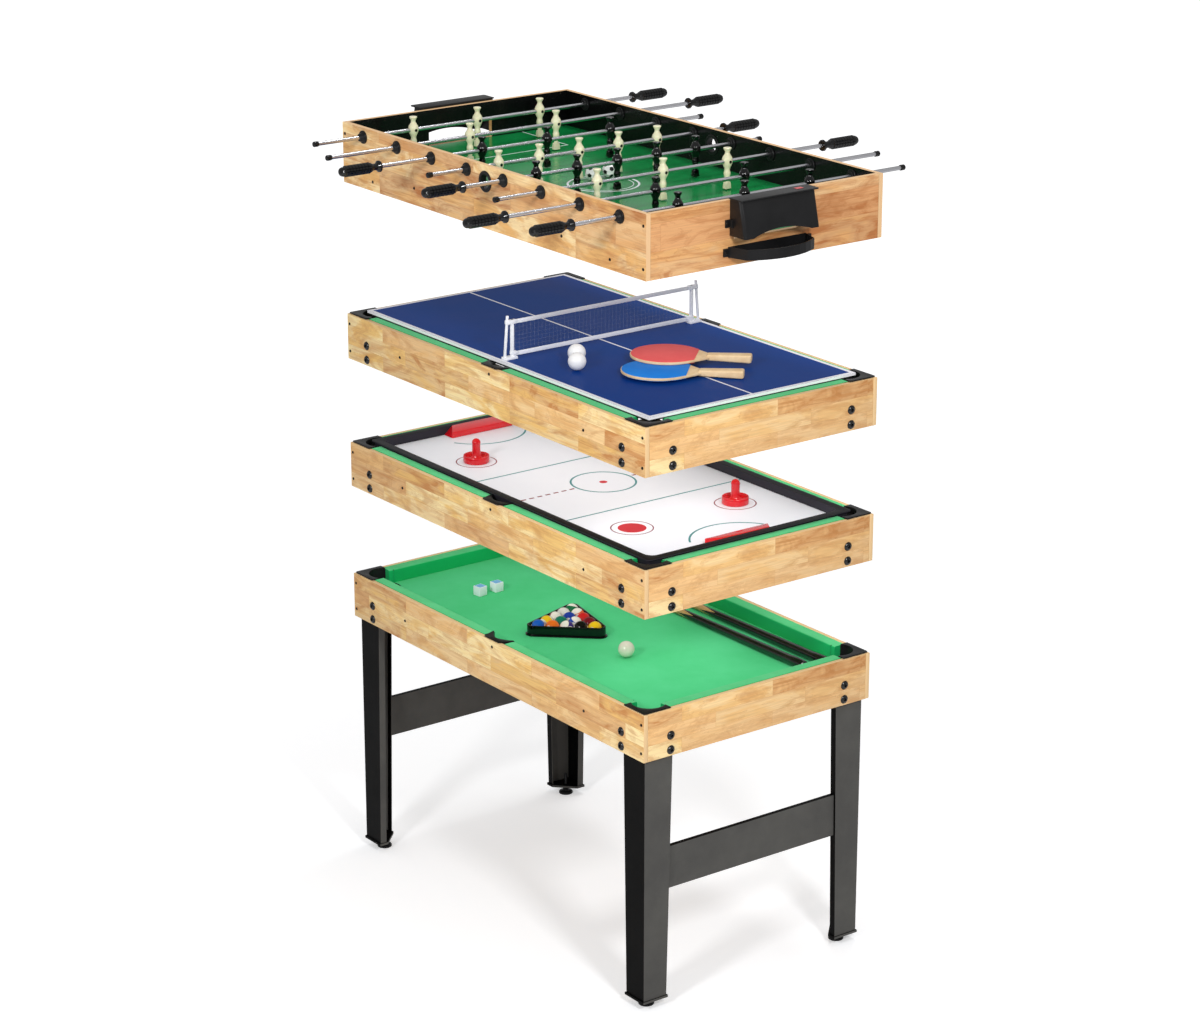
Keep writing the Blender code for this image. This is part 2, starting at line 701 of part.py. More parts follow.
def add_hockey_top():
    """White bed with a raised black lip that lies on the rim's covers."""
    lip_top = COVER_TOP + GAP + HOCKEY_LIP_RISE
    lip_size = (2 * TOP_HALF_LENGTH, 2 * TOP_HALF_WIDTH, HOCKEY_LIP_RISE)
    lip = block_mesh(lip_size, (0, 0, lip_top - HOCKEY_LIP_RISE / 2))
    top = add_part("hockey_top", lip, HOCKEY_WHITE, (0, 0, HOCKEY_RIM))
    tub_x = CUSHION_INNER_X - TUB_CLEARANCE
    tub_y = CUSHION_INNER_Y - TUB_CLEARANCE
    tub_bottom = lip_top - HOCKEY_BED_DEPTH - HOCKEY_FLOOR
    tub_height = lip_top - HOCKEY_LIP_RISE / 2 - tub_bottom
    tub = block_mesh((2 * tub_x, 2 * tub_y, tub_height), (0, 0, tub_bottom + tub_height / 2))
    boolean(top, add_tool("hockey tub", tub, (0, 0, HOCKEY_RIM)), 'UNION')
    inside_x = TOP_HALF_LENGTH - HOCKEY_LIP_WIDTH
    inside_y = TOP_HALF_WIDTH - HOCKEY_LIP_WIDTH
    inside_height = HOCKEY_BED_DEPTH + OVERRUN
    inside = block_mesh((2 * inside_x, 2 * inside_y, inside_height),
                        (0, 0, lip_top - HOCKEY_BED_DEPTH + inside_height / 2))
    boolean(top, add_tool("hockey bed recess", inside, (0, 0, HOCKEY_RIM)))
    goals = hockey_goals_mesh(inside_x, lip_top - HOCKEY_BED_DEPTH)
    boolean(top, add_tool("hockey goals", goals, (0, 0, HOCKEY_RIM)), 'UNION')
    return top


def pusher_mesh():
    """A dished disc with a knob in the middle, standing on Z = 0."""
    rim_inner = PUSHER_RADIUS - PUSHER_WALL
    dish = PUSHER_RIM_HEIGHT - PUSHER_DISH
    knob_centre = PUSHER_HEIGHT - PUSHER_KNOB_RADIUS
    profile = [(0, PUSHER_HEIGHT)]
    for degrees in (60, 30, 0):
        angle = math.radians(degrees)
        profile.append((PUSHER_KNOB_RADIUS * math.cos(angle),
                        knob_centre + PUSHER_KNOB_RADIUS * math.sin(angle)))
    profile += [
        (PUSHER_WAIST_RADIUS, knob_centre - PUSHER_KNOB_RADIUS),
        (PUSHER_KNOB_RADIUS, dish),
        (rim_inner, dish),
        (rim_inner, PUSHER_RIM_HEIGHT),
        (PUSHER_RADIUS, PUSHER_RIM_HEIGHT),
        (PUSHER_RADIUS, 0),
        (0, 0),
    ]
    return turned_mesh(profile, PUSHER_SIDES)


def add_pusher(name, mesh, side):
    bed = HOCKEY_RIM + COVER_TOP + GAP + HOCKEY_LIP_RISE - HOCKEY_BED_DEPTH
    spot_x, spot_y = PUSHER_SPOT
    return add_part(name, mesh, RED_PLASTIC, (side * spot_x, side * spot_y, bed + GAP), smooth=True)


def board_top():
    return TENNIS_RIM + COVER_TOP + GAP + BOARD_THICKNESS


def add_tennis_board():
    size = (2 * TOP_HALF_LENGTH, 2 * TOP_HALF_WIDTH, BOARD_THICKNESS)
    return add_part("tennis_board", block_mesh(size, (0, 0, board_top() - BOARD_THICKNESS / 2)), NAVY)


def net_web_mesh():
    """Crossed square threads between the posts, as one mesh of loose bars."""
    width = 2 * NET_HALF_SPAN
    low = NET_FOOT_HEIGHT
    high = NET_HEIGHT - NET_TAPE / 2
    column_pitch = width / NET_COLUMNS
    row_pitch = (high - low) / NET_ROWS
    height = high - low
    web = bpy.data.meshes.new("threads")
    bm = bmesh.new()
    for i in range(1, NET_COLUMNS):
        place = (0, column_pitch * i - NET_HALF_SPAN, low + height / 2)
        bm.from_mesh(block_mesh((NET_THREAD, NET_THREAD, height), place))
    for i in range(1, NET_ROWS):
        place = (0, 0, low + row_pitch * i)
        bm.from_mesh(block_mesh((NET_THREAD / 2, width, NET_THREAD), place))
    bm.to_mesh(web)
    bm.free()
    return web


def add_net():
    """Two posts on feet, a top and a bottom tape, and the threads between."""
    base = board_top() + GAP
    place = (0, 0, base)
    span = 2 * NET_HALF_SPAN
    lower_tape = block_mesh((NET_TAPE_THICKNESS, span, NET_TAPE),
                            (0, 0, NET_FOOT_HEIGHT + NET_TAPE / 2))
    net = add_part("table_net", lower_tape, WHITE_PLASTIC, place)
    upper_tape = block_mesh((NET_TAPE_THICKNESS, span, NET_TAPE), (0, 0, NET_HEIGHT - NET_TAPE / 2))
    boolean(net, add_tool("net upper tape", upper_tape, place), 'UNION')
    post_y = NET_HALF_SPAN - NET_POST / 2
    post = block_mesh((NET_POST, NET_POST, NET_HEIGHT + NET_TAPE / 2),
                      (0, 0, NET_HEIGHT / 2 + NET_TAPE / 4))
    posts = joined_copies(post, [(0, -post_y, 0), (0, post_y, 0)])
    boolean(net, add_tool("net posts", posts, place), 'UNION')
    foot = block_mesh((NET_FOOT_LENGTH, NET_POST + OVERRUN, NET_FOOT_HEIGHT),
                      (0, 0, NET_FOOT_HEIGHT / 2))
    feet = joined_copies(foot, [(0, -post_y, 0), (0, post_y, 0)])
    boolean(net, add_tool("net feet", feet, place), 'UNION')
    boolean(net, add_tool("net threads", net_web_mesh(), place), 'UNION')
    return net


def paddle_outline():
    """Blade seen from above: a round head that narrows to the grip, tail at +X."""
    head_half = PADDLE_HEAD_LENGTH / 2
    neck_x = PADDLE_LENGTH - PADDLE_GRIP_LENGTH
    half_grip = PADDLE_GRIP_WIDTH / 2
    points = []
    for degrees in range(PADDLE_NECK_DEGREES, 361 - PADDLE_NECK_DEGREES, PADDLE_STEP_DEGREES):
        angle = math.radians(degrees)
        points.append((head_half + head_half * math.cos(angle), PADDLE_HEAD_RADIUS * math.sin(angle)))
    points.append((neck_x, -half_grip))
    points.append((PADDLE_LENGTH - OVERRUN, -half_grip))
    points.append((PADDLE_LENGTH - OVERRUN, half_grip))
    points.append((neck_x, half_grip))
    return points


def add_paddle(name, material, centre, turn, grip_bottom):
    """The blade lies in the middle of a thicker rounded grip."""
    blade = outline_mesh(paddle_outline(), PADDLE_BLADE)
    shift = Matrix.Translation((-PADDLE_LENGTH / 2, 0, 0))
    blade.transform(shift)
    place = (*centre, grip_bottom + PADDLE_GRIP_THICKNESS / 2)
    paddle = add_part(name, blade, material, place, turn)
    grip_middle = PADDLE_LENGTH - PADDLE_GRIP_LENGTH / 2
    grip = block_mesh((PADDLE_GRIP_LENGTH, PADDLE_GRIP_WIDTH, PADDLE_GRIP_THICKNESS),
                      (grip_middle, 0, 0))
    grip.transform(shift)
    tool = add_tool(f"{name} grip", grip, place, turn)
    bevel = tool.modifiers.new("Bevel", 'BEVEL')
    bevel.width = PADDLE_GRIP_BEVEL
    bevel.segments = 1
    boolean(paddle, tool, 'UNION')
    return paddle


def rod_x(number):
    return (number - (ROD_COUNT + 1) / 2) * ROD_SPACING


def men_offsets(count):
    spacing = MEN_SPACING_SHARES[count] * 2 * INNER_WIDTH
    return [(i - (count - 1) / 2) * spacing for i in range(count)]


def rod_stroke(count):
    """Travel each way from the middle, until the outermost man nears the nut."""
    inner_face = INNER_WIDTH - BUSHING_NUT
    outermost = men_offsets(count)[-1] + MAN_SHOULDER_RADIUS
    return inner_face - outermost - MAN_MARGIN


def cap_end(count):
    return HALF_WIDTH + BUSHING_COLLAR + BUSHING_FLANGE + rod_stroke(count) + CAP_MARGIN + CAP_LENGTH


def handle_start(count):
    return HALF_WIDTH + BUSHING_COLLAR + BUSHING_FLANGE + rod_stroke(count) + HANDLE_MARGIN


def add_side_panel(name, sy):
    """A long foosball side: the boards of the ends butt against it."""
    panel_y = sy * (HALF_WIDTH - PANEL / 2)
    middle = FOOSBALL_FLOOR_Z + FOOSBALL_BOX_HEIGHT / 2
    panel = add_part(name, block_mesh((TABLE_LENGTH, PANEL, FOOSBALL_BOX_HEIGHT), (0, panel_y, middle)),
                     WOOD)
    radius = BUSHING_HOLE if sy < 0 else ROD_BORE
    hole = drum_mesh(radius, PANEL + 2 * OVERRUN, BUSHING_SIDES, along_y=True)
    places = [(rod_x(number), panel_y, ROD_Z) for number in range(1, ROD_COUNT + 1)]
    holes = joined_copies(hole, places)
    boolean(panel, add_tool(f"{name} rod holes", holes))
    entry = drum_mesh(ENTRY_RADIUS, PANEL + 2 * OVERRUN, BUSHING_SIDES,
                      (0, panel_y, FOOSBALL_RIM - ENTRY_DEPTH), along_y=True)
    boolean(panel, add_tool(f"{name} entry hole", entry))
    return panel


def add_end_panel(name, sx):
    panel_x = sx * (HALF_LENGTH - PANEL / 2)
    middle = FOOSBALL_FLOOR_Z + FOOSBALL_BOX_HEIGHT / 2
    size = (PANEL, 2 * (INNER_WIDTH - GAP), FOOSBALL_BOX_HEIGHT)
    panel = add_part(name, block_mesh(size, (panel_x, 0, middle)), WOOD)
    goal = block_mesh((PANEL + 2 * OVERRUN, 2 * GOAL_HALF_WIDTH, GOAL_HEIGHT),
                      (panel_x, 0, FIELD_TOP + GOAL_HEIGHT / 2))
    boolean(panel, add_tool(f"{name} goal", goal))
    return panel


def add_field():
    size = (2 * (INNER_LENGTH - GAP), 2 * (INNER_WIDTH - GAP), FIELD_THICKNESS)
    return add_part("foosball_field", block_mesh(size, (0, 0, FIELD_TOP - FIELD_THICKNESS / 2)), FIELD)


def hood_wedge_mesh(half_width, top_reach, foot_reach, height, back):
    """A block whose front slants out towards its foot; its top is at Z = 0."""
    mesh = block_mesh((1, 2 * half_width, height), (0, 0, -height / 2))
    for vertex in mesh.vertices:
        if vertex.co.x < 0:
            vertex.co.x = back
        elif vertex.co.z > -height / 2:
            vertex.co.x = top_reach
        else:
            vertex.co.x = foot_reach
    return mesh


def ear_mesh(half_span, height_at):
    """Two screw ears flat on the wall, at Y = plus and minus half_span."""
    ear = block_mesh((EAR_THICKNESS, EAR_WIDTH + 2 * OVERRUN, EAR_HEIGHT),
                     (GAP + EAR_THICKNESS / 2, 0, height_at))
    shift = half_span + EAR_WIDTH / 2 - OVERRUN
    return joined_copies(ear, [(0, -shift, 0), (0, shift, 0)])


def add_hood(name, sx):
    """A goal hood: open at the back and below, with a flat lid and two ears."""
    place = (sx * HALF_LENGTH, 0, FOOSBALL_RIM + HOOD_TOP_RISE)
    turn = 0 if sx > 0 else math.pi
    shell = hood_wedge_mesh(HOOD_HALF_WIDTH, HOOD_TOP_REACH, HOOD_FOOT_REACH, HOOD_DROP, GAP)
    hood = add_part(name, shell, BLACK_PLASTIC, place, turn)
    inside = hood_wedge_mesh(HOOD_HALF_WIDTH - HOOD_WALL, HOOD_TOP_REACH - HOOD_WALL,
                             HOOD_FOOT_REACH - HOOD_WALL, HOOD_DROP + OVERRUN, -OVERRUN)
    inside.transform(Matrix.Translation((0, 0, -HOOD_WALL)))
    boolean(hood, add_tool(f"{name} inside", inside, place, turn))
    wave_radius = (HOOD_WAVE_REACH ** 2 + HOOD_WAVE ** 2) / (2 * HOOD_WAVE)
    wave = drum_mesh(wave_radius, HOOD_FOOT_REACH + 2 * OVERRUN, HOOD_WAVE_SIDES,
                     (0, HOOD_FOOT_REACH, 0), along_y=True)
    wave.transform(Matrix.Rotation(math.radians(-90), 4, 'Z'))
    wave.transform(Matrix.Translation((0, 0, -HOOD_DROP + HOOD_WAVE - wave_radius)))
    boolean(hood, add_tool(f"{name} wave", wave, place, turn))
    lid_reach = HOOD_TOP_REACH + HOOD_LID_OVERHANG
    lid = block_mesh((lid_reach - GAP, 2 * (HOOD_HALF_WIDTH + HOOD_LID_OVERHANG / 2), HOOD_LID),
                     (GAP + (lid_reach - GAP) / 2, 0, HOOD_LID / 2 - HOOD_WALL / 2))
    boolean(hood, add_tool(f"{name} lid", lid, place, turn), 'UNION')
    ears = ear_mesh(HOOD_HALF_WIDTH, -HOOD_DROP * HOOD_EAR_SHARE)
    boolean(hood, add_tool(f"{name} ears", ears, place, turn), 'UNION')
    return hood


def tray_outline(inset):
    """Seen from above: straight arms from the wall, then one shallow arc."""
    shoulder_x = TRAY_SHOULDER_REACH
    shoulder_y = TRAY_HALF_WIDTH - TRAY_SHOULDER_INSET
    bow = TRAY_REACH - shoulder_x
    radius = (shoulder_y ** 2 + bow ** 2) / (2 * bow)
    spread = math.degrees(math.asin(shoulder_y / radius))
    centre = (TRAY_REACH - radius, 0)
    arc = arc_points(centre, radius - inset, -spread, spread, TRAY_CURVE_STEPS)
    wall_y = TRAY_HALF_WIDTH - inset
    return [(GAP + inset, -wall_y)] + arc + [(GAP + inset, wall_y)]


def add_tray(name, sx):
    """An open tray that catches the ball under the goal."""
    place = (sx * HALF_LENGTH, 0, FOOSBALL_FLOOR_Z + TRAY_BOTTOM + TRAY_HEIGHT / 2)
    turn = 0 if sx > 0 else math.pi
    tray = add_part(name, outline_mesh(tray_outline(0), TRAY_HEIGHT), BLACK_PLASTIC, place, turn)
    inside = outline_mesh(tray_outline(TRAY_WALL), TRAY_HEIGHT)
    inside.transform(Matrix.Translation((0, 0, TRAY_FLOOR)))
    boolean(tray, add_tool(f"{name} inside", inside, place, turn))
    ears = ear_mesh(TRAY_HALF_WIDTH, 0)
    boolean(tray, add_tool(f"{name} ears", ears, place, turn), 'UNION')
    return tray


def bushing_mesh():
    """Flange and collar outside the panel, barrel through it, nut inside.

    Turned with its outer end up; Z = 0 is the middle of the panel.
    """
    outer_face = PANEL / 2 + GAP
    inner_face = -PANEL / 2 - GAP
    collar_top = outer_face + BUSHING_FLANGE + BUSHING_COLLAR
    flange_top = outer_face + BUSHING_FLANGE
    nut_bottom = inner_face - BUSHING_NUT
    profile = [
        (ROD_BORE, collar_top),
        (BUSHING_COLLAR_RADIUS * BUSHING_COLLAR_SHARE, collar_top),
        (BUSHING_COLLAR_RADIUS, flange_top),
        (BUSHING_FLANGE_RADIUS, flange_top),
        (BUSHING_FLANGE_RADIUS, outer_face),
        (BUSHING_BARREL_RADIUS, outer_face),
        (BUSHING_BARREL_RADIUS, inner_face),
        (BUSHING_FLANGE_RADIUS, inner_face),
        (BUSHING_FLANGE_RADIUS, nut_bottom),
        (ROD_BORE, nut_bottom),
    ]
    mesh = turned_mesh(profile, BUSHING_SIDES, closed=True)
    mesh.transform(Matrix.Rotation(math.radians(90), 4, 'X'))
    return mesh


def man_mesh():
    """One player, turned like a skittle, with a square foot; rod axis at Z = 0."""
    chin = MAN_HEAD_TOP * MAN_CHIN_SHARE
    neck = MAN_HEAD_TOP * MAN_NECK_SHARE
    waist = -MAN_FOOT * MAN_WAIST_SHARE
    hip = -MAN_FOOT * MAN_HIP_SHARE
    ankle = FOOT_HEIGHT / 2 - MAN_FOOT
    profile = [
        (0, MAN_HEAD_TOP),
        (MAN_HEAD_RADIUS, MAN_HEAD_TOP),
        (MAN_HEAD_RADIUS, chin),
        (MAN_NECK_RADIUS, neck),
        (MAN_SHOULDER_RADIUS, MAN_SHOULDER_TOP),
        (MAN_CHEST_RADIUS, -MAN_CHEST_BOTTOM),
        (MAN_WAIST_RADIUS, waist),
        (MAN_HIP_RADIUS, hip),
        (MAN_ANKLE_RADIUS, ankle),
        (0, ankle),
    ]
    return turned_mesh(profile, MAN_SIDES)


def foot_mesh():
    return block_mesh((FOOT_LENGTH, FOOT_WIDTH, FOOT_HEIGHT), (0, 0, FOOT_HEIGHT / 2 - MAN_FOOT))


def rod_mesh(count, sy):
    """A steel rod along Y with a plastic cap on the end away from its handle.

    sy is the side of the handle. Turned with the handle's end up.
    """
    cap_low = -cap_end(count)
    cap_high = cap_low + CAP_LENGTH
    rod_top = handle_start(count) + HANDLE_BORE_DEPTH - GAP
    profile = [
        (0, rod_top),
        (ROD_RADIUS, rod_top),
        (ROD_RADIUS, cap_high),
        (CAP_RADIUS, cap_high),
        (CAP_RADIUS, cap_low),
        (0, cap_low),
    ]
    mesh = turned_mesh(profile, ROD_SIDES)
    mesh.transform(Matrix.Rotation(math.radians(-90 * sy), 4, 'X'))
    return mesh


def handle_mesh(sy):
    """A grip with a round end, a waist and a flange, bored for the rod.

    Turned with its round end up; Z = 0 is the flange's face.
    """
    bore = ROD_RADIUS + GAP
    waist_low = HANDLE_FLANGE_RADIUS
    waist_high = 2 * HANDLE_FLANGE_RADIUS
    grip_low = waist_high + HANDLE_RADIUS / 2
    round_centre = HANDLE_LENGTH - HANDLE_RADIUS
    profile = [(0, HANDLE_LENGTH)]
    for degrees in (55, 20):
        angle = math.radians(degrees)
        profile.append((HANDLE_RADIUS * math.cos(angle), round_centre + HANDLE_RADIUS * math.sin(angle)))
    profile += [
        (HANDLE_RADIUS, round_centre - HANDLE_RADIUS),
        (HANDLE_RADIUS * HANDLE_GRIP_SHARE, grip_low),
        (HANDLE_WAIST_RADIUS, waist_high),
        (HANDLE_WAIST_RADIUS, waist_low),
        (HANDLE_FLANGE_RADIUS, waist_low / 2),
        (HANDLE_FLANGE_RADIUS * HANDLE_FACE_SHARE, 0),
        (bore, 0),
        (bore, HANDLE_BORE_DEPTH),
        (0, HANDLE_BORE_DEPTH),
    ]
    mesh = turned_mesh(profile, HANDLE_SIDES)
    mesh.transform(Matrix.Rotation(math.radians(-90 * sy), 4, 'X'))
    return mesh


def add_rod_set(number):
    """Bushing, rod with its men and handle, all on one axis along Y."""
    count = MEN_ON_ROD[number - 1]
    push = ROD_PUSH[number - 1]
    side = 1 if HANDLE_FAR_SIDE[number - 1] else -1
    team = CREAM_PLASTIC if HANDLE_FAR_SIDE[number - 1] else BLACK_GLOSS
    x = rod_x(number)
    add_part(f"rod_bushing_{number}", BUSHING_MESH, BLACK_PLASTIC,
             (x, PANEL / 2 - HALF_WIDTH, ROD_Z), smooth=True)
    place = (x, push, ROD_Z)
    rod = add_part(f"foosball_rod_{number}", rod_mesh(count, side), team, place, smooth=True)
    places = [(0, y, 0) for y in men_offsets(count)]
    men = add_tool(f"rod {number} men", joined_copies(MAN_MESH, places), place)
    feet = add_tool(f"rod {number} feet", joined_copies(FOOT_MESH, places), place)
    boolean(rod, men, 'UNION')
    boolean(rod, feet, 'UNION')
    handle_y = push + side * handle_start(count)
    add_part(f"rod_handle_{number}", handle_mesh(side), BLACK_PLASTIC, (x, handle_y, ROD_Z), smooth=True)


clear_scene()
TABLE = new_collection("Multi game table")
TOOLS = new_collection("Cutters")

WOOD = new_material("Block wood", (0.78, 0.55, 0.29), 0.45)
FELT = new_material("Green felt bed", (0.07, 0.50, 0.21), 0.9)
FELT_RAIL = new_material("Green cushion felt", (0.16, 0.55, 0.29), 0.9)
FIELD = new_material("Green playing field", (0.01, 0.33, 0.11), 0.35)
NAVY = new_material("Navy table tennis board", (0.02, 0.05, 0.22), 0.4)
HOCKEY_WHITE = new_material("Hockey top", (0.85, 0.86, 0.88), 0.35)
LEG_PAINT = new_material("Black leg paint", (0.05, 0.05, 0.05), 0.5)
BLACK_PLASTIC = new_material("Black plastic", (0.015, 0.015, 0.016), 0.45)
BLACK_GLOSS = new_material("Black players on steel", (0.01, 0.01, 0.01), 0.2)
CREAM_PLASTIC = new_material("Cream players on steel", (0.80, 0.76, 0.58), 0.3)
RED_PLASTIC = new_material("Red plastic", (0.62, 0.01, 0.02), 0.3)
WHITE_PLASTIC = new_material("White plastic", (0.85, 0.86, 0.88), 0.4)
CUE_WOOD = new_material("Cue wood", (0.70, 0.47, 0.22), 0.4)
PADDLE_RED = new_material("Red paddle", (0.80, 0.13, 0.12), 0.7)
PADDLE_BLUE = new_material("Blue paddle", (0.02, 0.27, 0.75), 0.7)

# Billiards box on its legs
add_frame("billiards_frame", FLOOR_TO_BOX)
add_billiards_bed()
add_rim("billiards_rim", BASE_RIM, pockets=True)
for end, sx in (("left", -1), ("right", 1)):
    add_cross_rail(f"cross_rail_{end}", sx)
    for side, sy in (("near", -1), ("far", 1)):
        add_leg(f"leg_{side}_{end}", sx, sy)
        add_leveller(f"leveller_{side}_{end}", sx, sy)
add_rack()
for side, tip_space, wall_space in zip(("near", "far"), CUE_TIP_SPACES, CUE_WALL_SPACES):
    add_cue(f"cue_{side}", tip_space, wall_space)

# Push hockey box
add_frame("hockey_frame", HOCKEY_FLOOR_Z)
add_rim("hockey_rim", HOCKEY_RIM)
add_hockey_top()
PUSHER_MESH = pusher_mesh()
add_pusher("pusher_left", PUSHER_MESH, -1)
add_pusher("pusher_right", PUSHER_MESH, 1)

# Table tennis box
add_frame("tennis_frame", TENNIS_FLOOR_Z)
add_rim("tennis_rim", TENNIS_RIM)
add_tennis_board()
add_net()
blue_bottom = board_top() + GAP
red_bottom = blue_bottom + PADDLE_BLADE + GAP
add_paddle("paddle_blue", PADDLE_BLUE, BLUE_PADDLE, BLUE_PADDLE_TURN, blue_bottom)
add_paddle("paddle_red", PADDLE_RED, RED_PADDLE, RED_PADDLE_TURN, red_bottom)

# Foosball box
add_side_panel("foosball_side_near", -1)
add_side_panel("foosball_side_far", 1)
add_end_panel("foosball_end_left", -1)
add_end_panel("foosball_end_right", 1)
add_field()
for end, sx in (("left", -1), ("right", 1)):
    add_hood(f"goal_hood_{end}", sx)
    add_tray(f"ball_tray_{end}", sx)
BUSHING_MESH = bushing_mesh()
MAN_MESH = man_mesh()
FOOT_MESH = foot_mesh()
for rod_number in range(1, ROD_COUNT + 1):
    add_rod_set(rod_number)
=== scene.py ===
# %% [markdown]
# # A multi game table, lifted apart
# Four shallow boxes of block wood share one set of legs: billiards at the bottom,
# then push hockey, table tennis and foosball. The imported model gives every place,
# and this notebook builds the fine pieces and finishes round it.

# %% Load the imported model
import math
from contextlib import contextmanager

import bpy
from mathutils import Matrix, Vector


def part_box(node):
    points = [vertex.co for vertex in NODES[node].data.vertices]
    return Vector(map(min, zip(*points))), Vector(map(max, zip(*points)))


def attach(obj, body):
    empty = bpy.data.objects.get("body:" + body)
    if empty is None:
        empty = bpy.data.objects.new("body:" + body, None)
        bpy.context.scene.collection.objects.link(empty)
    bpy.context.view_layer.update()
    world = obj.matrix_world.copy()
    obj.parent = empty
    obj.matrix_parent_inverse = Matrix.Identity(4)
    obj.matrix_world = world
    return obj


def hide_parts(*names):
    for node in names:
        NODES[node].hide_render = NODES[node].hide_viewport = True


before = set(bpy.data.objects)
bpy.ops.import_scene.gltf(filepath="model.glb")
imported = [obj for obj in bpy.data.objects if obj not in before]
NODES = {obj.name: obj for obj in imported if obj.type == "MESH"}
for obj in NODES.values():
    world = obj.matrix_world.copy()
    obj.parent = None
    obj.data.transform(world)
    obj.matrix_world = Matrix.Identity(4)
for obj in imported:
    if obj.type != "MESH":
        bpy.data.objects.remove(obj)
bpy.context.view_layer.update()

# %% [markdown]
# ## Sizes that every piece follows
# The solids give the outer sizes. The board's thickness, the cushion's width and the
# steps between the layers are named here, so that each piece sits on what carries it.

# %% Measures
PANEL = 0.012
HAIR = 0.0003
CUSHION_WIDTH = 0.030
COVER_THICKNESS = 0.0026
COVER_ARM = 0.080
COVER_WIDTH = 0.036
COVER_MARGIN = 0.003
COVER_HALF = 0.030
COVER_INNER_HALF = 0.044
HOUSING_HALF = 0.0422
POCKET_RADIUS = 0.040
POCKET_INSET = 0.0448
MIDDLE_RADIUS = 0.026
MIDDLE_INSET = 0.0308
MOUTH_RADIUS = 0.050
MOUTH_DEPTH = 0.020
RAISED_CUSHION_DROP = 0.035
HALF_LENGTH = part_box("billiards_frame")[1].x
HALF_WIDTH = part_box("billiards_frame")[1].y
INNER_X = HALF_LENGTH - PANEL
INNER_Y = HALF_WIDTH - PANEL
BED_X = INNER_X - CUSHION_WIDTH
BED_Y = INNER_Y - CUSHION_WIDTH
BASE_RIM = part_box("billiards_frame")[1].z
HOCKEY_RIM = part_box("hockey_frame")[1].z
TENNIS_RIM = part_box("tennis_frame")[1].z
FOOSBALL_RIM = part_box("foosball_side_near")[1].z
BED_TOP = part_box("billiards_bed")[1].z
print("table", 2 * HALF_LENGTH, "by", 2 * HALF_WIDTH, "rims", BASE_RIM, HOCKEY_RIM, TENNIS_RIM)


def middle_of(name):
    """The middle of a solid's box."""
    low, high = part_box(name)
    return (low + high) / 2


# %% [markdown]
# ## Working in edit mode from code
# Every piece starts as a primitive and is shaped with the same operators as by hand.
# Operators act on what is selected, so each helper first deselects everything.
# Faces, edges and points are then chosen by a test on their place.


# %% Selecting and editing
def pick(*objects):
    """Select these objects alone, with the first one active."""
    bpy.ops.object.select_all(action='DESELECT')
    for obj in objects:
        obj.select_set(True)
    bpy.context.view_layer.objects.active = objects[0]


@contextmanager
def editing(obj, faces=None, points=None):
    """Edit mode with everything selected, or only what passes a test."""
    pick(obj)
    mesh = obj.data
    tools = bpy.context.tool_settings
    tools.mesh_select_mode = (faces is None, False, faces is not None)
    for group in (mesh.vertices, mesh.edges, mesh.polygons):
        group.foreach_set("select", [False] * len(group))
    if faces:
        for face in mesh.polygons:
            face.select = faces(face.center, face.normal)
    if points:
        for vertex in mesh.vertices:
            vertex.select = points(vertex.co)
    bpy.ops.object.mode_set(mode='EDIT')
    if not faces and not points:
        bpy.ops.mesh.select_all(action='SELECT')
    yield
    bpy.ops.object.mode_set(mode='OBJECT')


def block(name, low, high):
    """A box between two corners, the start of a board or bar."""
    bpy.ops.object.select_all(action='DESELECT')
    low, high = Vector(low), Vector(high)
    bpy.ops.mesh.primitive_cube_add(size=1, location=(low + high) / 2)
    obj = bpy.context.object
    obj.name = name
    obj.scale = high - low
    bpy.ops.object.transform_apply(location=True, rotation=True, scale=True)
    return obj


def soften(obj, width, segments=2, angle=40):
    """Round the edges over a little, as a router, a mould or sandpaper does."""
    bevel = obj.modifiers.new("Softened edges", 'BEVEL')
    bevel.width = width
    bevel.segments = segments
    bevel.limit_method = 'ANGLE'
    bevel.angle_limit = math.radians(angle)
    pick(obj)
    bpy.ops.object.modifier_apply(modifier=bevel.name)
    return obj


# %% [markdown]
# ## Traced outlines, turned shapes and copies
# A point is extruded along an outline. The outline is then filled and raised into a
# plate, or spun into a turned shape, as on a lathe.


# %% Outlines, plates and lathe work
def trace(name, points):
    """A line through points, drawn from a small plane merged to one point."""
    bpy.ops.object.select_all(action='DESELECT')
    bpy.ops.mesh.primitive_plane_add(size=0.001, location=points[0])
    obj = bpy.context.object
    obj.name = name
    bpy.ops.object.transform_apply(location=True, rotation=True, scale=True)
    with editing(obj):
        bpy.ops.mesh.merge(type='CENTER')
        for start, end in zip(points, points[1:]):
            step = Vector(end) - Vector(start)
            bpy.ops.mesh.extrude_region_move(TRANSFORM_OT_translate={"value": step})
    return obj


def raised(name, points, rise):
    """A closed outline in space, filled and extruded along a vector."""
    obj = trace(name, points)
    with editing(obj):
        bpy.ops.mesh.edge_face_add()
        bpy.ops.mesh.extrude_region_move(TRANSFORM_OT_translate={"value": Vector(rise)})
        bpy.ops.mesh.select_all(action='SELECT')
        bpy.ops.mesh.normals_make_consistent(inside=False)
    return obj


def plate(name, outline, low, thickness):
    """A flat plate from (x, y) points."""
    return raised(name, [(x, y, low) for x, y in outline], (0, 0, thickness))


def lathe(name, profile, steps=24):
    """Spin (radius, height) points about the Z axis."""
    obj = trace(name, [(radius, 0, height) for radius, height in profile])
    with editing(obj):
        bpy.ops.mesh.spin(steps=steps, angle=math.tau, center=(0, 0, 0), axis=(0, 0, 1))
        bpy.ops.mesh.select_all(action='SELECT')
        bpy.ops.mesh.remove_doubles(threshold=0.00001)
        bpy.ops.mesh.normals_make_consistent(inside=False)
    return obj


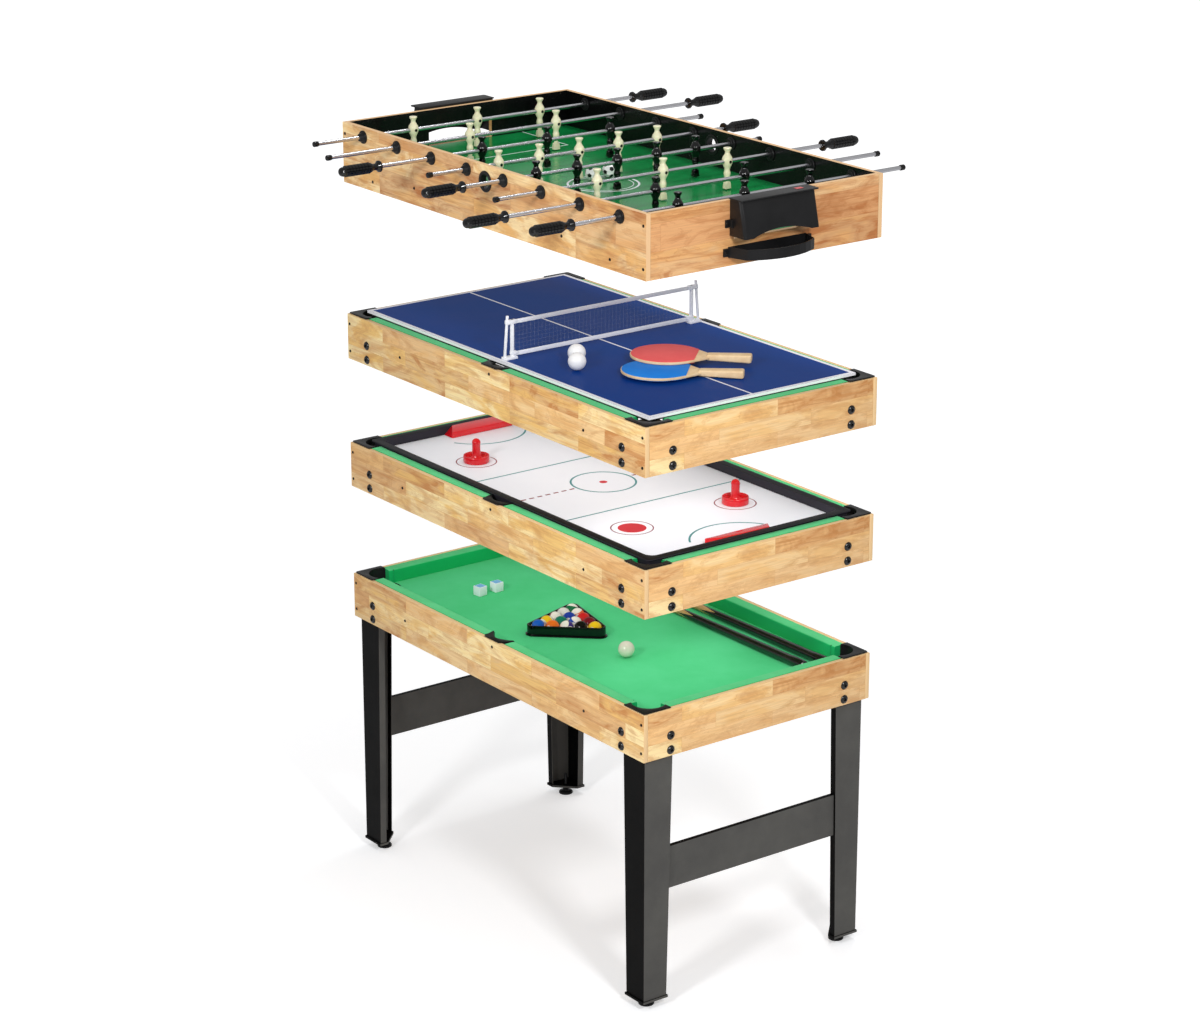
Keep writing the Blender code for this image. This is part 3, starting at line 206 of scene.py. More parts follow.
# %% Cutting, copying and joining
def cut(obj, *tools, operation='DIFFERENCE'):
    """Take each tool from a piece, or join it to the piece, and remove the tool."""
    for tool in tools:
        modifier = obj.modifiers.new(operation, 'BOOLEAN')
        modifier.operation = operation
        modifier.object = tool
        modifier.solver = 'EXACT'
        pick(obj)
        bpy.ops.object.modifier_apply(modifier=modifier.name)
        bpy.data.objects.remove(tool)
    return obj


def copy_to(obj, matrix):
    """A copy with its own mesh, moved by a matrix. A mirrored one is turned right side out."""
    twin = obj.copy()
    twin.data = obj.data.copy()
    bpy.context.collection.objects.link(twin)
    twin.data.transform(matrix)
    if matrix.determinant() < 0:
        twin.data.flip_normals()
    return twin


def move_to(obj, matrix):
    obj.data.transform(matrix)
    return obj


def gather(name, parts):
    """Join parts into one named piece."""
    pick(*parts)
    bpy.ops.object.join()
    parts[0].name = name
    return parts[0]


def at(x, y, z, turn=0.0, axis='Z'):
    """A place, after a turn in degrees about an axis."""
    return Matrix.Translation((x, y, z)) @ Matrix.Rotation(math.radians(turn), 4, axis)


def flipped(x, y):
    return Matrix.Diagonal((x, y, 1, 1))


def other_quarters(part):
    """Mirrored copies of a piece in the other three quarters of the table."""
    return [copy_to(part, flipped(x, y)) for x, y in ((-1, 1), (1, -1), (-1, -1))]


def discard(*models):
    for model in models:
        bpy.data.objects.remove(model)


def dress(obj, body, material, slot=None, stands_for=(), smooth=30):
    """Finish a piece: shading, material and the body that carries it; slot is not used."""
    pick(obj)
    bpy.ops.object.shade_smooth_by_angle(angle=math.radians(smooth))
    if material:
        obj.data.materials.clear()
        obj.data.materials.append(material)
    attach(obj, body)
    if stands_for:
        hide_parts(*stands_for)
    print(obj.name, len(obj.data.polygons), "faces on", body)
    return obj


def dressed_copy(name, model, place, *worn, **shading):
    """A named copy of a model at its place; what follows goes to dress."""
    twin = copy_to(model, place)
    twin.name = name
    return dress(twin, *worn, **shading)


def keep(name, material, edge=0.0):
    """Give a solid that stays its material, and ease its edges with a live bevel."""
    NODES[name].data.materials.clear()
    NODES[name].data.materials.append(material)
    if edge:
        eased = NODES[name].modifiers.new("Eased edges", 'BEVEL')
        eased.width = edge
        eased.segments = 2
        eased.limit_method = 'ANGLE'
        eased.angle_limit = math.radians(50)


# %% [markdown]
# ## Materials
# Each finish is a Principled shader fed by node groups. A group works out what changes
# over a surface: grain, weave, wear and shade from place to place. What is the same all
# over, such as sheen or coat, is set on the shader itself.


# %% Node helpers
def node(tree, kind, inputs=None, **settings):
    """Add a node. An input is given by name or number, as a value or as the socket that feeds it."""
    made = tree.nodes.new(kind)
    for key, value in settings.items():
        setattr(made, key, value)
    for key, value in (inputs or {}).items():
        if isinstance(value, bpy.types.NodeSocket):
            tree.links.new(value, made.inputs[key])
        else:
            made.inputs[key].default_value = value
    return made


def rgb(red, green, blue):
    """A colour picked from 0 to 255, as the linear values that Blender mixes."""
    linear = []
    for value in (red, green, blue):
        share = value / 255
        linear.append(share / 12.92 if share <= 0.04045 else ((share + 0.055) / 1.055) ** 2.4)
    return (*linear, 1)


def new_group(name, inputs, outputs):
    """A group with named sockets, each a float F, a colour C or a vector V."""
    tree = bpy.data.node_groups.new(name, 'ShaderNodeTree')
    kinds = {'F': 'NodeSocketFloat', 'C': 'NodeSocketColor', 'V': 'NodeSocketVector'}
    for label, kind in inputs.items():
        tree.interface.new_socket(name=label, in_out='INPUT', socket_type=kinds[kind])
    for label, kind in outputs.items():
        tree.interface.new_socket(name=label, in_out='OUTPUT', socket_type=kinds[kind])
    source = tree.nodes.new('NodeGroupInput').outputs
    sink = tree.nodes.new('NodeGroupOutput').inputs
    return tree, source, sink


def math_node(tree, operation, first, second=0.0, clamp=False):
    return node(tree, 'ShaderNodeMath', {0: first, 1: second}, operation=operation,
                use_clamp=clamp).outputs[0]


def times(tree, first, second):
    return math_node(tree, 'MULTIPLY', first, second)


def plus(tree, first, second, clamp=False):
    return math_node(tree, 'ADD', first, second, clamp)


def above(tree, value, limit):
    return math_node(tree, 'GREATER_THAN', value, limit)


def unsigned(tree, value):
    return math_node(tree, 'ABSOLUTE', value)


def separate(tree, vector):
    return node(tree, 'ShaderNodeSeparateXYZ', {0: vector}).outputs


def combine(tree, x, y, z):
    return node(tree, 'ShaderNodeCombineXYZ', {0: x, 1: y, 2: z}).outputs[0]


def coordinates(tree):
    return node(tree, 'ShaderNodeTexCoord').outputs


def noise(tree, place, scale, detail, roughness=0.5, distortion=0.0):
    return node(tree, 'ShaderNodeTexNoise', {'Vector': place, 'Scale': scale, 'Detail': detail,
                                             'Roughness': roughness, 'Distortion': distortion}).outputs[0]


def blend_node(tree, factor, first, second, how='MIX'):
    """Mix two colours, or shade one by another; the numbers are the node's colour sockets."""
    return node(tree, 'ShaderNodeMix', {0: factor, 6: first, 7: second}, data_type='RGBA',
                blend_type=how).outputs[2]


def blend_value(tree, factor, first, second):
    return node(tree, 'ShaderNodeMix', {0: factor, 2: first, 3: second}).outputs[0]


def spread(tree, value, low, high, to_low=0.0, to_high=1.0):
    """Stretch a value from one range to another, clamped at both ends."""
    return node(tree, 'ShaderNodeMapRange', {'Value': value, 'From Min': low, 'From Max': high,
                                             'To Min': to_low, 'To Max': to_high}).outputs[0]


def stretched(tree, vector, scale):
    return node(tree, 'ShaderNodeVectorMath', {0: vector, 1: scale}, operation='MULTIPLY').outputs[0]


def dot_product(tree, first, second):
    made = node(tree, 'ShaderNodeVectorMath', {0: first, 1: second}, operation='DOT_PRODUCT')
    return made.outputs["Value"]


# %% [markdown]
# ### Fine surface
# Moulded plastic, paint and varnish are never one flat tone. Two near colours and two
# near gloss values are mixed by a cloudy noise, and a finer noise gives the grain.

# %% The fine surface group
FINE, fine_in, fine_out = new_group(
    "Fine surface",
    {"Place": 'V', "Cloud Size": 'F', "Grain Size": 'F', "Color A": 'C', "Color B": 'C',
     "Roughness A": 'F', "Roughness B": 'F'},
    {"Color": 'C', "Roughness": 'F', "Height": 'F'})
cloud = spread(FINE, noise(FINE, fine_in["Place"], fine_in["Cloud Size"], 4.0, 0.6), 0.35, 0.65)
grain = noise(FINE, fine_in["Place"], fine_in["Grain Size"], 2.0)
both = plus(FINE, times(FINE, cloud, 0.7), times(FINE, grain, 0.3))
FINE.links.new(blend_node(FINE, cloud, fine_in["Color A"], fine_in["Color B"]), fine_out["Color"])
rough = node(FINE, 'ShaderNodeMapRange', {'Value': both, 'To Min': fine_in["Roughness A"],
                                          'To Max': fine_in["Roughness B"]}).outputs[0]
FINE.links.new(rough, fine_out["Roughness"])
FINE.links.new(grain, fine_out["Height"])
print(FINE.name, len(FINE.nodes), "nodes")

# %% [markdown]
# ### Face colour and painted shade
# This group mixes two colours by the way that the surface faces. On the navy board it
# gives the board's sides their real white edge. On the cushion felt, the legs and the hockey
# surround it paints light and shade: the felt's drop to the bed is a deeper green as
# painted shade, the legs are grey on faces towards the table's ends and near black on
# the others as painted light and shade, and the surround's walls are paler than its top
# as painted light.

# %% The face colour and painted shade group
FACE_COLOUR_AND_SHADE, face_colour_and_shade_in, face_colour_and_shade_out = new_group(
    "Face colour and painted shade", {"Facing": 'V', "Axis": 'V', "Along": 'C', "Across": 'C'}, {"Color": 'C'})
# Faces along the axis keep the first colour and the others take the second: painted light and shade on some
# finishes, a real edge colour on the navy board.
turned = dot_product(FACE_COLOUR_AND_SHADE, face_colour_and_shade_in["Facing"], face_colour_and_shade_in["Axis"])
faced = spread(FACE_COLOUR_AND_SHADE, unsigned(FACE_COLOUR_AND_SHADE, turned), 0.35, 0.85)
FACE_COLOUR_AND_SHADE.links.new(blend_node(FACE_COLOUR_AND_SHADE, faced, face_colour_and_shade_in["Across"], face_colour_and_shade_in["Along"]), face_colour_and_shade_out["Color"])
print(FACE_COLOUR_AND_SHADE.name, len(FACE_COLOUR_AND_SHADE.nodes), "nodes")

# %% [markdown]
# ### Raw underside
# The playing boards are fibreboard that is finished on top only. Faces that look down
# keep the raw board's speckled brown, and the finish above comes in as a colour.

# %% The raw underside group
RAW, raw_in, raw_out = new_group(
    "Raw underside", {"Place": 'V', "Facing": 'V', "Face": 'C', "Raw": 'C'}, {"Color": 'C'})
shade = spread(RAW, noise(RAW, raw_in["Place"], 420.0, 3.0), 0.3, 0.7, 0.8, 1.1)
speckled = blend_node(RAW, 1.0, raw_in["Raw"], combine(RAW, shade, shade, shade), 'MULTIPLY')
mask = math_node(RAW, 'LESS_THAN', separate(RAW, raw_in["Facing"])[2], -0.5)
RAW.links.new(blend_node(RAW, mask, raw_in["Face"], speckled), raw_out["Color"])
print(RAW.name, len(RAW.nodes), "nodes")


# %% A finish from the fine surface group
FINE_RELIEF = 0.0004
WOOD_RELIEF = 0.0003


def new_material(name, bump, distance, shader_values):
    """A material with its Principled shader, and a bump on its normal."""
    material = bpy.data.materials.new(name)
    material.use_nodes = True
    tree = material.node_tree
    shader = tree.nodes["Principled BSDF"]
    for key, value in shader_values.items():
        shader.inputs[key].default_value = value
    bumped = node(tree, 'ShaderNodeBump', {'Strength': bump, 'Distance': distance})
    tree.links.new(bumped.outputs[0], shader.inputs["Normal"])
    return material, tree, shader, bumped


def lead(tree, color, group, shader, bumped):
    """A colour and a group's roughness and height go to the shader and its bump."""
    tree.links.new(color, shader.inputs["Base Color"])
    tree.links.new(group["Roughness"], shader.inputs["Roughness"])
    tree.links.new(group["Height"], bumped.inputs["Height"])


def finish(name, color, other, rough=(0.4, 0.5), cloud=9.0, grain=900.0, bump=0.2, facing_colour_and_shade=None,
           under=None, **shader_values):
    """facing_colour_and_shade is an axis and the colour of faces turned away from it, painted light and
    shade on some finishes and a real edge colour on others; under is the raw board's colour.
    """
    values = {key.replace("_", " "): value for key, value in shader_values.items()}
    material, tree, shader, bumped = new_material(name, bump, FINE_RELIEF, values)
    where = coordinates(tree)
    fine = node(tree, 'ShaderNodeGroup', {
        "Place": where["Object"], "Cloud Size": cloud, "Grain Size": grain, "Color A": color,
        "Color B": other, "Roughness A": rough[0], "Roughness B": rough[1]}, node_tree=FINE).outputs
    result = fine["Color"]
    # Faces turned away from the axis take the second colour: painted light and shade on the felt, legs and
    # hockey walls, the real white edge on the navy board.
    if facing_colour_and_shade:
        turned = {"Facing": where["Normal"], "Axis": facing_colour_and_shade[0], "Along": result, "Across": facing_colour_and_shade[1]}
        result = node(tree, 'ShaderNodeGroup', turned, node_tree=FACE_COLOUR_AND_SHADE).outputs["Color"]
    if under:
        faces = {"Place": where["Object"], "Facing": where["Normal"], "Face": result, "Raw": under}
        result = node(tree, 'ShaderNodeGroup', faces, node_tree=RAW).outputs["Color"]
    lead(tree, result, fine, shader, bumped)
    print("finish", name)
    return material


def inside_of(material):
    """The tree, shader and first group of a finish, to build more on."""
    tree = material.node_tree
    return tree, tree.nodes["Principled BSDF"], next(item for item in tree.nodes if item.type == 'GROUP')


# %% [markdown]
# ### Block wood
# The boards are covered with a print of block wood in rows of staves. Each stave has its
# own tone, from cream over gold to pink, and some staves are brown. Soft clouds, brown
# blotches with darker rims, streaks and fine pores cross it. A brick pattern gives the
# staves. It serves the long and end faces, and the boards' thin edges stay plain.

# %% The block wood group
BLOCK_WOOD, wood_in, wood_out = new_group(
    "Block wood",
    {"Place": 'V', "Facing": 'V', "Stave Length": 'F', "Stave Height": 'F', "Pale": 'C', "Gold": 'C',
     "Pink": 'C', "Brown": 'C', "Edge": 'C', "Board Inside": 'F', "End Blush": 'F'},
    {"Color": 'C', "Roughness": 'F', "Height": 'F'})
tree = BLOCK_WOOD
place = separate(tree, wood_in["Place"])
facing = separate(tree, wood_in["Facing"])
faces_end = above(tree, unsigned(tree, facing[0]), 0.6)
faces_up = above(tree, unsigned(tree, facing[2]), 0.6)
along = blend_value(tree, faces_end, place[0], plus(tree, place[1], 3.1))
side_seed = times(tree, plus(tree, facing[0], facing[1]), 2.7)
board = combine(tree, along, place[2], side_seed)
staves = node(tree, 'ShaderNodeTexBrick',
              {'Vector': board, 'Color1': (0, 0, 0, 1), 'Color2': (1, 1, 1, 1), 'Scale': 1.0,
               'Mortar Size': 0.0003, 'Mortar': (0.4, 0.4, 0.4, 1), 'Brick Width': wood_in["Stave Length"],
               'Row Height': wood_in["Stave Height"]}, offset=0.37)
stave_tone = separate(tree, staves.outputs["Color"])[0]
other_tone = math_node(tree, 'FRACT', times(tree, stave_tone, 7.3))
dark_tone = math_node(tree, 'FRACT', times(tree, stave_tone, 17.1))
stave_place = combine(tree, along, plus(tree, place[2], times(tree, stave_tone, 9.0)), side_seed)


def grain_noise(scale, detail, distortion):
    """Noise drawn out along the board, its own on each stave."""
    return noise(BLOCK_WOOD, stretched(BLOCK_WOOD, stave_place, scale), 1.0, detail, 0.58, distortion)


clouds = grain_noise((5, 15, 1), 3.0, 1.6)
blotches = grain_noise((5.5, 17, 1), 4.5, 2.2)
streaks = grain_noise((5, 110, 1), 4.0, 0.8)
pores = grain_noise((14, 460, 1), 3.0, 0.2)
golden = spread(tree, clouds, 0.40, 0.60, -0.35, 0.8)
gold = plus(tree, times(tree, stave_tone, 0.5), golden, clamp=True)
colour = blend_node(tree, gold, wood_in["Pale"], wood_in["Gold"])
blush = times(tree, faces_end, wood_in["End Blush"])
pink = plus(tree, spread(tree, other_tone, 0.35, 0.6, 0.0, 0.6), blush, clamp=True)
colour = blend_node(tree, pink, colour, wood_in["Pink"])
dark_stave = spread(tree, dark_tone, 0.55, 0.9)
browned = times(tree, dark_stave, spread(tree, clouds, 0.60, 0.35, 0.15, 0.8))
brown = plus(tree, times(tree, spread(tree, blotches, 0.50, 0.64), 0.50), browned, clamp=True)
rim_of_blotch = unsigned(tree, math_node(tree, 'SUBTRACT', blotches, 0.515))
blotch_rim = spread(tree, rim_of_blotch, 0.0, 0.010, 0.40, 0.0)
streaked = times(tree, spread(tree, streaks, 0.50, 0.70), spread(tree, dark_stave, 0.0, 1.0, 0.35, 0.8))
seam = times(tree, staves.outputs["Fac"], 0.35)
for darkened in (brown, blotch_rim, streaked, seam):
    colour = blend_node(tree, darkened, colour, wood_in["Brown"])
pore_shade = spread(tree, pores, 0.3, 0.7, 0.88, 1.06)
colour = blend_node(tree, 1.0, colour, combine(tree, pore_shade, pore_shade, pore_shade), 'MULTIPLY')
board_end = above(tree, unsigned(tree, place[1]), wood_in["Board Inside"])
thin_edge = math_node(tree, 'MAXIMUM', faces_up, times(tree, board_end, faces_end))
tree.links.new(blend_node(tree, thin_edge, colour, wood_in["Edge"]), wood_out["Color"])
tree.links.new(spread(tree, pores, 0.2, 0.8, 0.42, 0.58), wood_out["Roughness"])
tree.links.new(pores, wood_out["Height"])
print(tree.name, len(tree.nodes), "nodes")


# %% Block wood for each box
def block_wood(name, floor, colors, stave=(0.27, 0.0387), shift=0.0, blush=0.15):
    """floor is the height of the box's underside, where the lowest stave starts."""
    material, tree, shader, bumped = new_material(name, 0.10, WOOD_RELIEF, {"Specular IOR Level": 0.25})
    where = coordinates(tree)
    placed = node(tree, 'ShaderNodeMapping', {'Vector': where["Object"], 'Location': (shift, 0, -floor)})
    tones = dict(zip(("Pale", "Gold", "Pink", "Brown", "Edge"), colors))
    tones["Stave Length"], tones["Stave Height"] = stave
    wood = node(tree, 'ShaderNodeGroup', {
        "Place": placed.outputs[0], "Facing": where["Normal"], "Board Inside": INNER_Y,
        "End Blush": blush, **tones}, node_tree=BLOCK_WOOD).outputs
    lead(tree, wood["Color"], wood, shader, bumped)
    return material


LOW_BOX_WOOD = (rgb(255, 230, 172), rgb(242, 198, 120), rgb(236, 188, 134), rgb(200, 138, 80),
                rgb(232, 196, 146))
BASE_WOOD = block_wood("Block wood, billiards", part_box("billiards_frame")[0].z, LOW_BOX_WOOD)
HOCKEY_WOOD = block_wood("Block wood, hockey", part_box("hockey_frame")[0].z, LOW_BOX_WOOD, shift=0.9)
TENNIS_WOOD = block_wood("Block wood, table tennis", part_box("tennis_frame")[0].z, LOW_BOX_WOOD,
                         shift=1.7)
print("three low boxes, one wood group")

# %% [markdown]
# ### Felt, paint, plastic and steel
# Felt has a fibrous grain and a soft sheen. The printed boards have a satin coat. The
# legs carry powder paint with a fine orange peel. The rods are drawn steel, with painted
# shade: their colour darkens where the surface turns away from the camera.

# %% Felt and boards
RAW_BOARD = rgb(168, 134, 96)
FELT_BED = finish("Bed felt", rgb(78, 208, 138), rgb(66, 200, 126), rough=(0.85, 0.95), cloud=5.0,
                  grain=1400.0, bump=0.3, under=RAW_BOARD, Sheen_Weight=0.1, Specular_IOR_Level=0.1)
# The cushion felt's sides, where it drops to the bed, are painted a deeper green as painted shade.
RAIL_FELT_WITH_PAINTED_SHADE = finish("Cushion felt, painted shade on sides", rgb(88, 204, 134), rgb(78, 196, 124), rough=(0.85, 0.95), cloud=12.0,
                   grain=1400.0, bump=0.3, facing_colour_and_shade=((0, 0, 1), rgb(10, 176, 96)), Sheen_Weight=0.1,
                   Specular_IOR_Level=0.1)
NAVY_BOARD = finish("Navy board", rgb(8, 54, 130), rgb(15, 62, 136), rough=(0.3, 0.42), cloud=3.0,
                    grain=700.0, bump=0.06, facing_colour_and_shade=((0, 0, 1), rgb(248, 248, 252)), under=RAW_BOARD,
                    Specular_IOR_Level=0.03)
WHITE_BED = finish("White hockey bed", rgb(242, 244, 252), rgb(238, 240, 249), rough=(0.3, 0.4),
                   cloud=4.0, grain=500.0, bump=0.03, under=RAW_BOARD, Specular_IOR_Level=0.2)
FIELD_GREEN = finish("Playing field", rgb(14, 134, 66), rgb(24, 148, 78), rough=(0.14, 0.24), cloud=4.0,
                     grain=500.0, bump=0.03, under=RAW_BOARD, Specular_IOR_Level=0.35)

# %% Plastics, paint and steel
BLACK_PLASTIC = finish("Black plastic", rgb(22, 22, 23), rgb(29, 29, 30), rough=(0.28, 0.40), grain=1800.0,
                       bump=0.2, Specular_IOR_Level=0.2)
BLACK_GLOSS = finish("Glossy black plastic", rgb(2, 2, 3), rgb(4, 4, 5), rough=(0.1, 0.16), bump=0.04,
                     Specular_IOR_Level=0.5)
# The hockey surround's walls are painted paler than its top, as painted light on them.
CHARCOAL_WITH_PAINTED_LIGHT = finish("Charcoal hockey wall, painted light on walls", rgb(24, 24, 27), rgb(30, 30, 33), rough=(0.4, 0.5), bump=0.15,
                  facing_colour_and_shade=((0, 0, 1), rgb(50, 48, 56)), Specular_IOR_Level=0.12)
CREAM = finish("Cream plastic", rgb(240, 234, 200), rgb(230, 223, 186), rough=(0.2, 0.32), bump=0.05,
               Subsurface_Weight=0.05)
RED_GLOSS = finish("Red plastic", rgb(226, 14, 30), rgb(212, 8, 24), rough=(0.2, 0.28), bump=0.05,
                   Specular_IOR_Level=0.4, Coat_Weight=0.6, Coat_Roughness=0.08)
BOLT_BLACK = finish("Black bolt head", rgb(4, 4, 4), rgb(7, 7, 7), rough=(0.2, 0.28), bump=0.04,
                    Specular_IOR_Level=0.6)
WHITE_PLASTIC = finish("White plastic", rgb(246, 247, 252), rgb(238, 240, 248), rough=(0.35, 0.45),
                       bump=0.1)
LINE_WHITE = finish("White line", rgb(242, 242, 248), rgb(232, 232, 240), rough=(0.4, 0.5), bump=0.04)
LINE_TEAL = finish("Teal line", rgb(60, 138, 142), rgb(76, 150, 152), rough=(0.4, 0.5), bump=0.04)
LINE_RED = finish("Red line", rgb(206, 26, 46), rgb(216, 34, 54), rough=(0.4, 0.5), bump=0.04)
LINE_MAROON = finish("Maroon line", rgb(132, 40, 58), rgb(144, 52, 66), rough=(0.4, 0.5), bump=0.04)
# The leg paint is grey on faces that look towards the table's ends and near black on all others: painted
# light and shade, as if lit from the ends.
LEG_PAINT_WITH_PAINTED_SHADE = finish("Leg paint, painted light and shade", rgb(88, 87, 84), rgb(80, 79, 77), rough=(0.42, 0.52), grain=700.0,
                   bump=0.25, facing_colour_and_shade=((1, 0, 0), rgb(7, 7, 7)), Specular_IOR_Level=0.06)
STEEL = finish("Drawn steel, painted shade at the sides", rgb(226, 226, 230), rgb(206, 206, 211), rough=(0.24, 0.30), cloud=5.0,
               grain=300.0, bump=0.02, Metallic=1.0)
tree, shader, group = inside_of(STEEL)
# Painted shade: the steel's colour darkens to a dark grey where the surface turns away from the camera.
edge_on = node(tree, 'ShaderNodeLayerWeight', {'Blend': 0.5}).outputs["Facing"]
painted_dark_sides = blend_node(tree, spread(tree, edge_on, 0.35, 0.85), group.outputs["Color"], rgb(74, 74, 78))
tree.links.new(painted_dark_sides, shader.inputs["Base Color"])
DARK_STEEL = finish("Dark screw steel", rgb(60, 56, 52), rgb(40, 38, 37), rough=(0.25, 0.4), bump=0.1,
                    Metallic=1.0)
PALE_WOOD = finish("Pale paddle wood", rgb(240, 212, 168), rgb(228, 194, 148), rough=(0.45, 0.6),
                   cloud=40.0, bump=0.12)
PADDLE_RED = finish("Coral rubber", rgb(238, 100, 100), rgb(230, 90, 92), rough=(0.55, 0.66), grain=1500.0,
                    Specular_IOR_Level=0.25)
PADDLE_BLUE = finish("Blue rubber", rgb(20, 136, 234), rgb(14, 126, 224), rough=(0.55, 0.66), grain=1500.0,
                     Specular_IOR_Level=0.25)

# %% [markdown]
# ## Wooden boards of the three lower boxes
# On the real boxes two long boards run full length and two end boards sit between them,
# so the ends of the long boards show as pale strips at the corners. Each board is a box
# with its edges eased, and the four are joined into one glued frame.


# %% Boards
def add_boards(tier, body, material):
    low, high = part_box(f"{tier}_frame")
    near = block("near board", low, (high.x, low.y + PANEL, high.z))
    end = block("end board", (low.x, low.y + PANEL + HAIR, low.z),
                (low.x + PANEL, high.y - PANEL - HAIR, high.z))
    for board in (near, end):
        soften(board, 0.0007)
    far = copy_to(near, at(0, high.y - low.y - PANEL, 0))
    other_end = copy_to(end, at(high.x - low.x - PANEL, 0, 0))
    boards = gather(f"{tier}_boards", [near, far, end, other_end])
    return dress(boards, body, material, "block_wood", [f"{tier}_frame"])


add_boards("billiards", "billiards_table", BASE_WOOD)
add_boards("hockey", "hockey_box", HOCKEY_WOOD)
add_boards("tennis", "tennis_box", TENNIS_WOOD)

# %% [markdown]
# ## Cushions
# A felt-covered cushion runs along each board between the corner and middle covers. Its
# section is a flat top, a rounded nose and a straight drop to the bed. One long run and
# one end run are modelled, and mirrored copies make the rest.


# %% Cushion runs
def cushion_run(name, along_x, start, end, rim, bottom):
    """A run from start to end, with its section drawn once from the board inwards."""
    outer, inner = ((INNER_Y - HAIR, BED_Y) if along_x else (INNER_X - HAIR, BED_X))
    top = rim + 0.0008
    section = [(outer, bottom), (inner, bottom), (inner, top - 0.0045), (inner + 0.0007, top - 0.0018),
               (inner + 0.0025, top - 0.0004), (inner + 0.0055, top), (outer, top)]
    if along_x:
        return raised(name, [(start, across, up) for across, up in section], (end - start, 0, 0))
    return raised(name, [(across, start, up) for across, up in section], (0, end - start, 0))


def add_cushions(tier, body, rim, bottom):
    arm_x = HALF_LENGTH - COVER_ARM
    arm_y = HALF_WIDTH - COVER_ARM
    long_run = cushion_run("long run", True, HOUSING_HALF + HAIR, arm_x - HAIR, rim, bottom)
    end_run = cushion_run("end run", False, HAIR - arm_y, arm_y - HAIR, rim, bottom)
    runs = [long_run, end_run, copy_to(end_run, flipped(-1, 1))] + other_quarters(long_run)
    cushions = gather(f"{tier}_cushions", runs)
    return dress(cushions, body, RAIL_FELT_WITH_PAINTED_SHADE, "rail_felt", [f"{tier}_rim"], smooth=50)


add_cushions("billiards", "billiards_table", BASE_RIM, BED_TOP + HAIR)
add_cushions("hockey", "hockey_box", HOCKEY_RIM, HOCKEY_RIM - RAISED_CUSHION_DROP)
add_cushions("tennis", "tennis_box", TENNIS_RIM, TENNIS_RIM - RAISED_CUSHION_DROP)

# %% [markdown]
# ## Corner and middle covers with their pockets
# Moulded black covers cap the rim at the corners and at the middle of each long side. A
# round bite in each leaves two horns. On the billiards box a cup hangs in the bite, and
# on the other two it is a shallow dish. The outline is traced, raised and then bored.
# On the tennis box a thin black frame along the cushions' inner edges carries the board; its black also
# stands in for the shadow in the gap under the board's edge.


# %% Covers and pockets
def arc(centre, radius, start, end, steps=9):
    """Points on an arc between two angles in degrees."""
    points = []
    for i in range(steps + 1):
        angle = math.radians(start + (end - start) * i / steps)
        points.append((centre[0] + radius * math.cos(angle), centre[1] + radius * math.sin(angle)))
    return points


COVER_CORNER = 0.005
CUP_DEPTH = 0.078
HOUSING_DROP = 0.034
DISH_DEPTH = 0.012
UNDER_BOARD = 0.012
BEHIND_BED = 0.004
BORE_ROOM = 0.0012
SEAT_AND_SHADE_WIDTH = 0.006
OVER = 0.01
OUT_X = HALF_LENGTH - COVER_MARGIN
OUT_Y = HALF_WIDTH - COVER_MARGIN
ARM = COVER_ARM - COVER_MARGIN
CORNER_POCKET = (INNER_X - POCKET_INSET, INNER_Y - POCKET_INSET)
MIDDLE_POCKET = (0, INNER_Y - MIDDLE_INSET)
MOUTH = (0, OUT_Y - COVER_WIDTH + MOUTH_DEPTH - MOUTH_RADIUS)
CORNER = arc((OUT_X - COVER_CORNER, OUT_Y - COVER_CORNER), COVER_CORNER, 0, 90, 4)
CORNER += [(OUT_X - ARM, OUT_Y), (OUT_X - ARM, OUT_Y - COVER_WIDTH)]
CORNER += [(OUT_X - COVER_WIDTH, OUT_Y - ARM), (OUT_X, OUT_Y - ARM)]
MIDDLE = [(COVER_HALF, OUT_Y), (-COVER_HALF, OUT_Y), (-COVER_INNER_HALF, OUT_Y - COVER_WIDTH),
          (COVER_INNER_HALF, OUT_Y - COVER_WIDTH)]


def drum(name, radius, low, high, place, sides=32):
    """A bore or a round bar, turned from a short profile."""
    obj = lathe(name, [(0, low), (radius, low), (radius, high), (0, high)], sides)
    return move_to(obj, at(*place, 0))


def pocket_block(pocket, radius, low, high, bore_floor, opened):
    """The bored black housing under a cover. It is opened over a bed, or else runs under the board."""
    middle = pocket == MIDDLE_POCKET
    low_x, high_x = (-HOUSING_HALF, HOUSING_HALF) if middle else (HALF_LENGTH - COVER_ARM, INNER_X - HAIR)
    low_y = BED_Y - BEHIND_BED if middle else HALF_WIDTH - COVER_ARM
    if not opened:
        low_x, low_y = low_x - UNDER_BOARD, low_y - UNDER_BOARD
    housing = block("housing", (low_x, low_y, low), (high_x, INNER_Y - HAIR, high))
    tools = []
    if opened:
        tools.append(block("opening", (-BED_X, -BED_Y, low - OVER), (BED_X, BED_Y, high + OVER)))
    if middle:
        tools.append(drum("mouth", MOUTH_RADIUS, bore_floor, high + OVER, MOUTH, 48))
    return cut(housing, *tools, drum("bore", radius + BORE_ROOM, bore_floor, high + OVER, pocket))


def pocket_cup(pocket, radius):
    """A thin black cup that catches the ball below the bed."""
    floor = BASE_RIM - CUP_DEPTH
    rim = BASE_RIM + HAIR
    profile = [(0, floor), (radius - 0.002, floor), (radius + 0.001, floor + 0.003),
               (radius + 0.001, rim), (radius, rim), (radius, floor + 0.004),
               (radius - 0.003, floor + 0.0015), (0, floor + 0.0015)]
    cup = move_to(lathe("cup", profile, 32), at(*pocket, 0))
    tools = [block("opening", (-BED_X, -BED_Y, BED_TOP + HAIR), (BED_X, BED_Y, BASE_RIM + OVER))]
    if pocket == MIDDLE_POCKET:
        tools.append(drum("mouth", MOUTH_RADIUS, BED_TOP + HAIR, BASE_RIM + OVER, MOUTH, 48))
    return cut(cup, *tools)


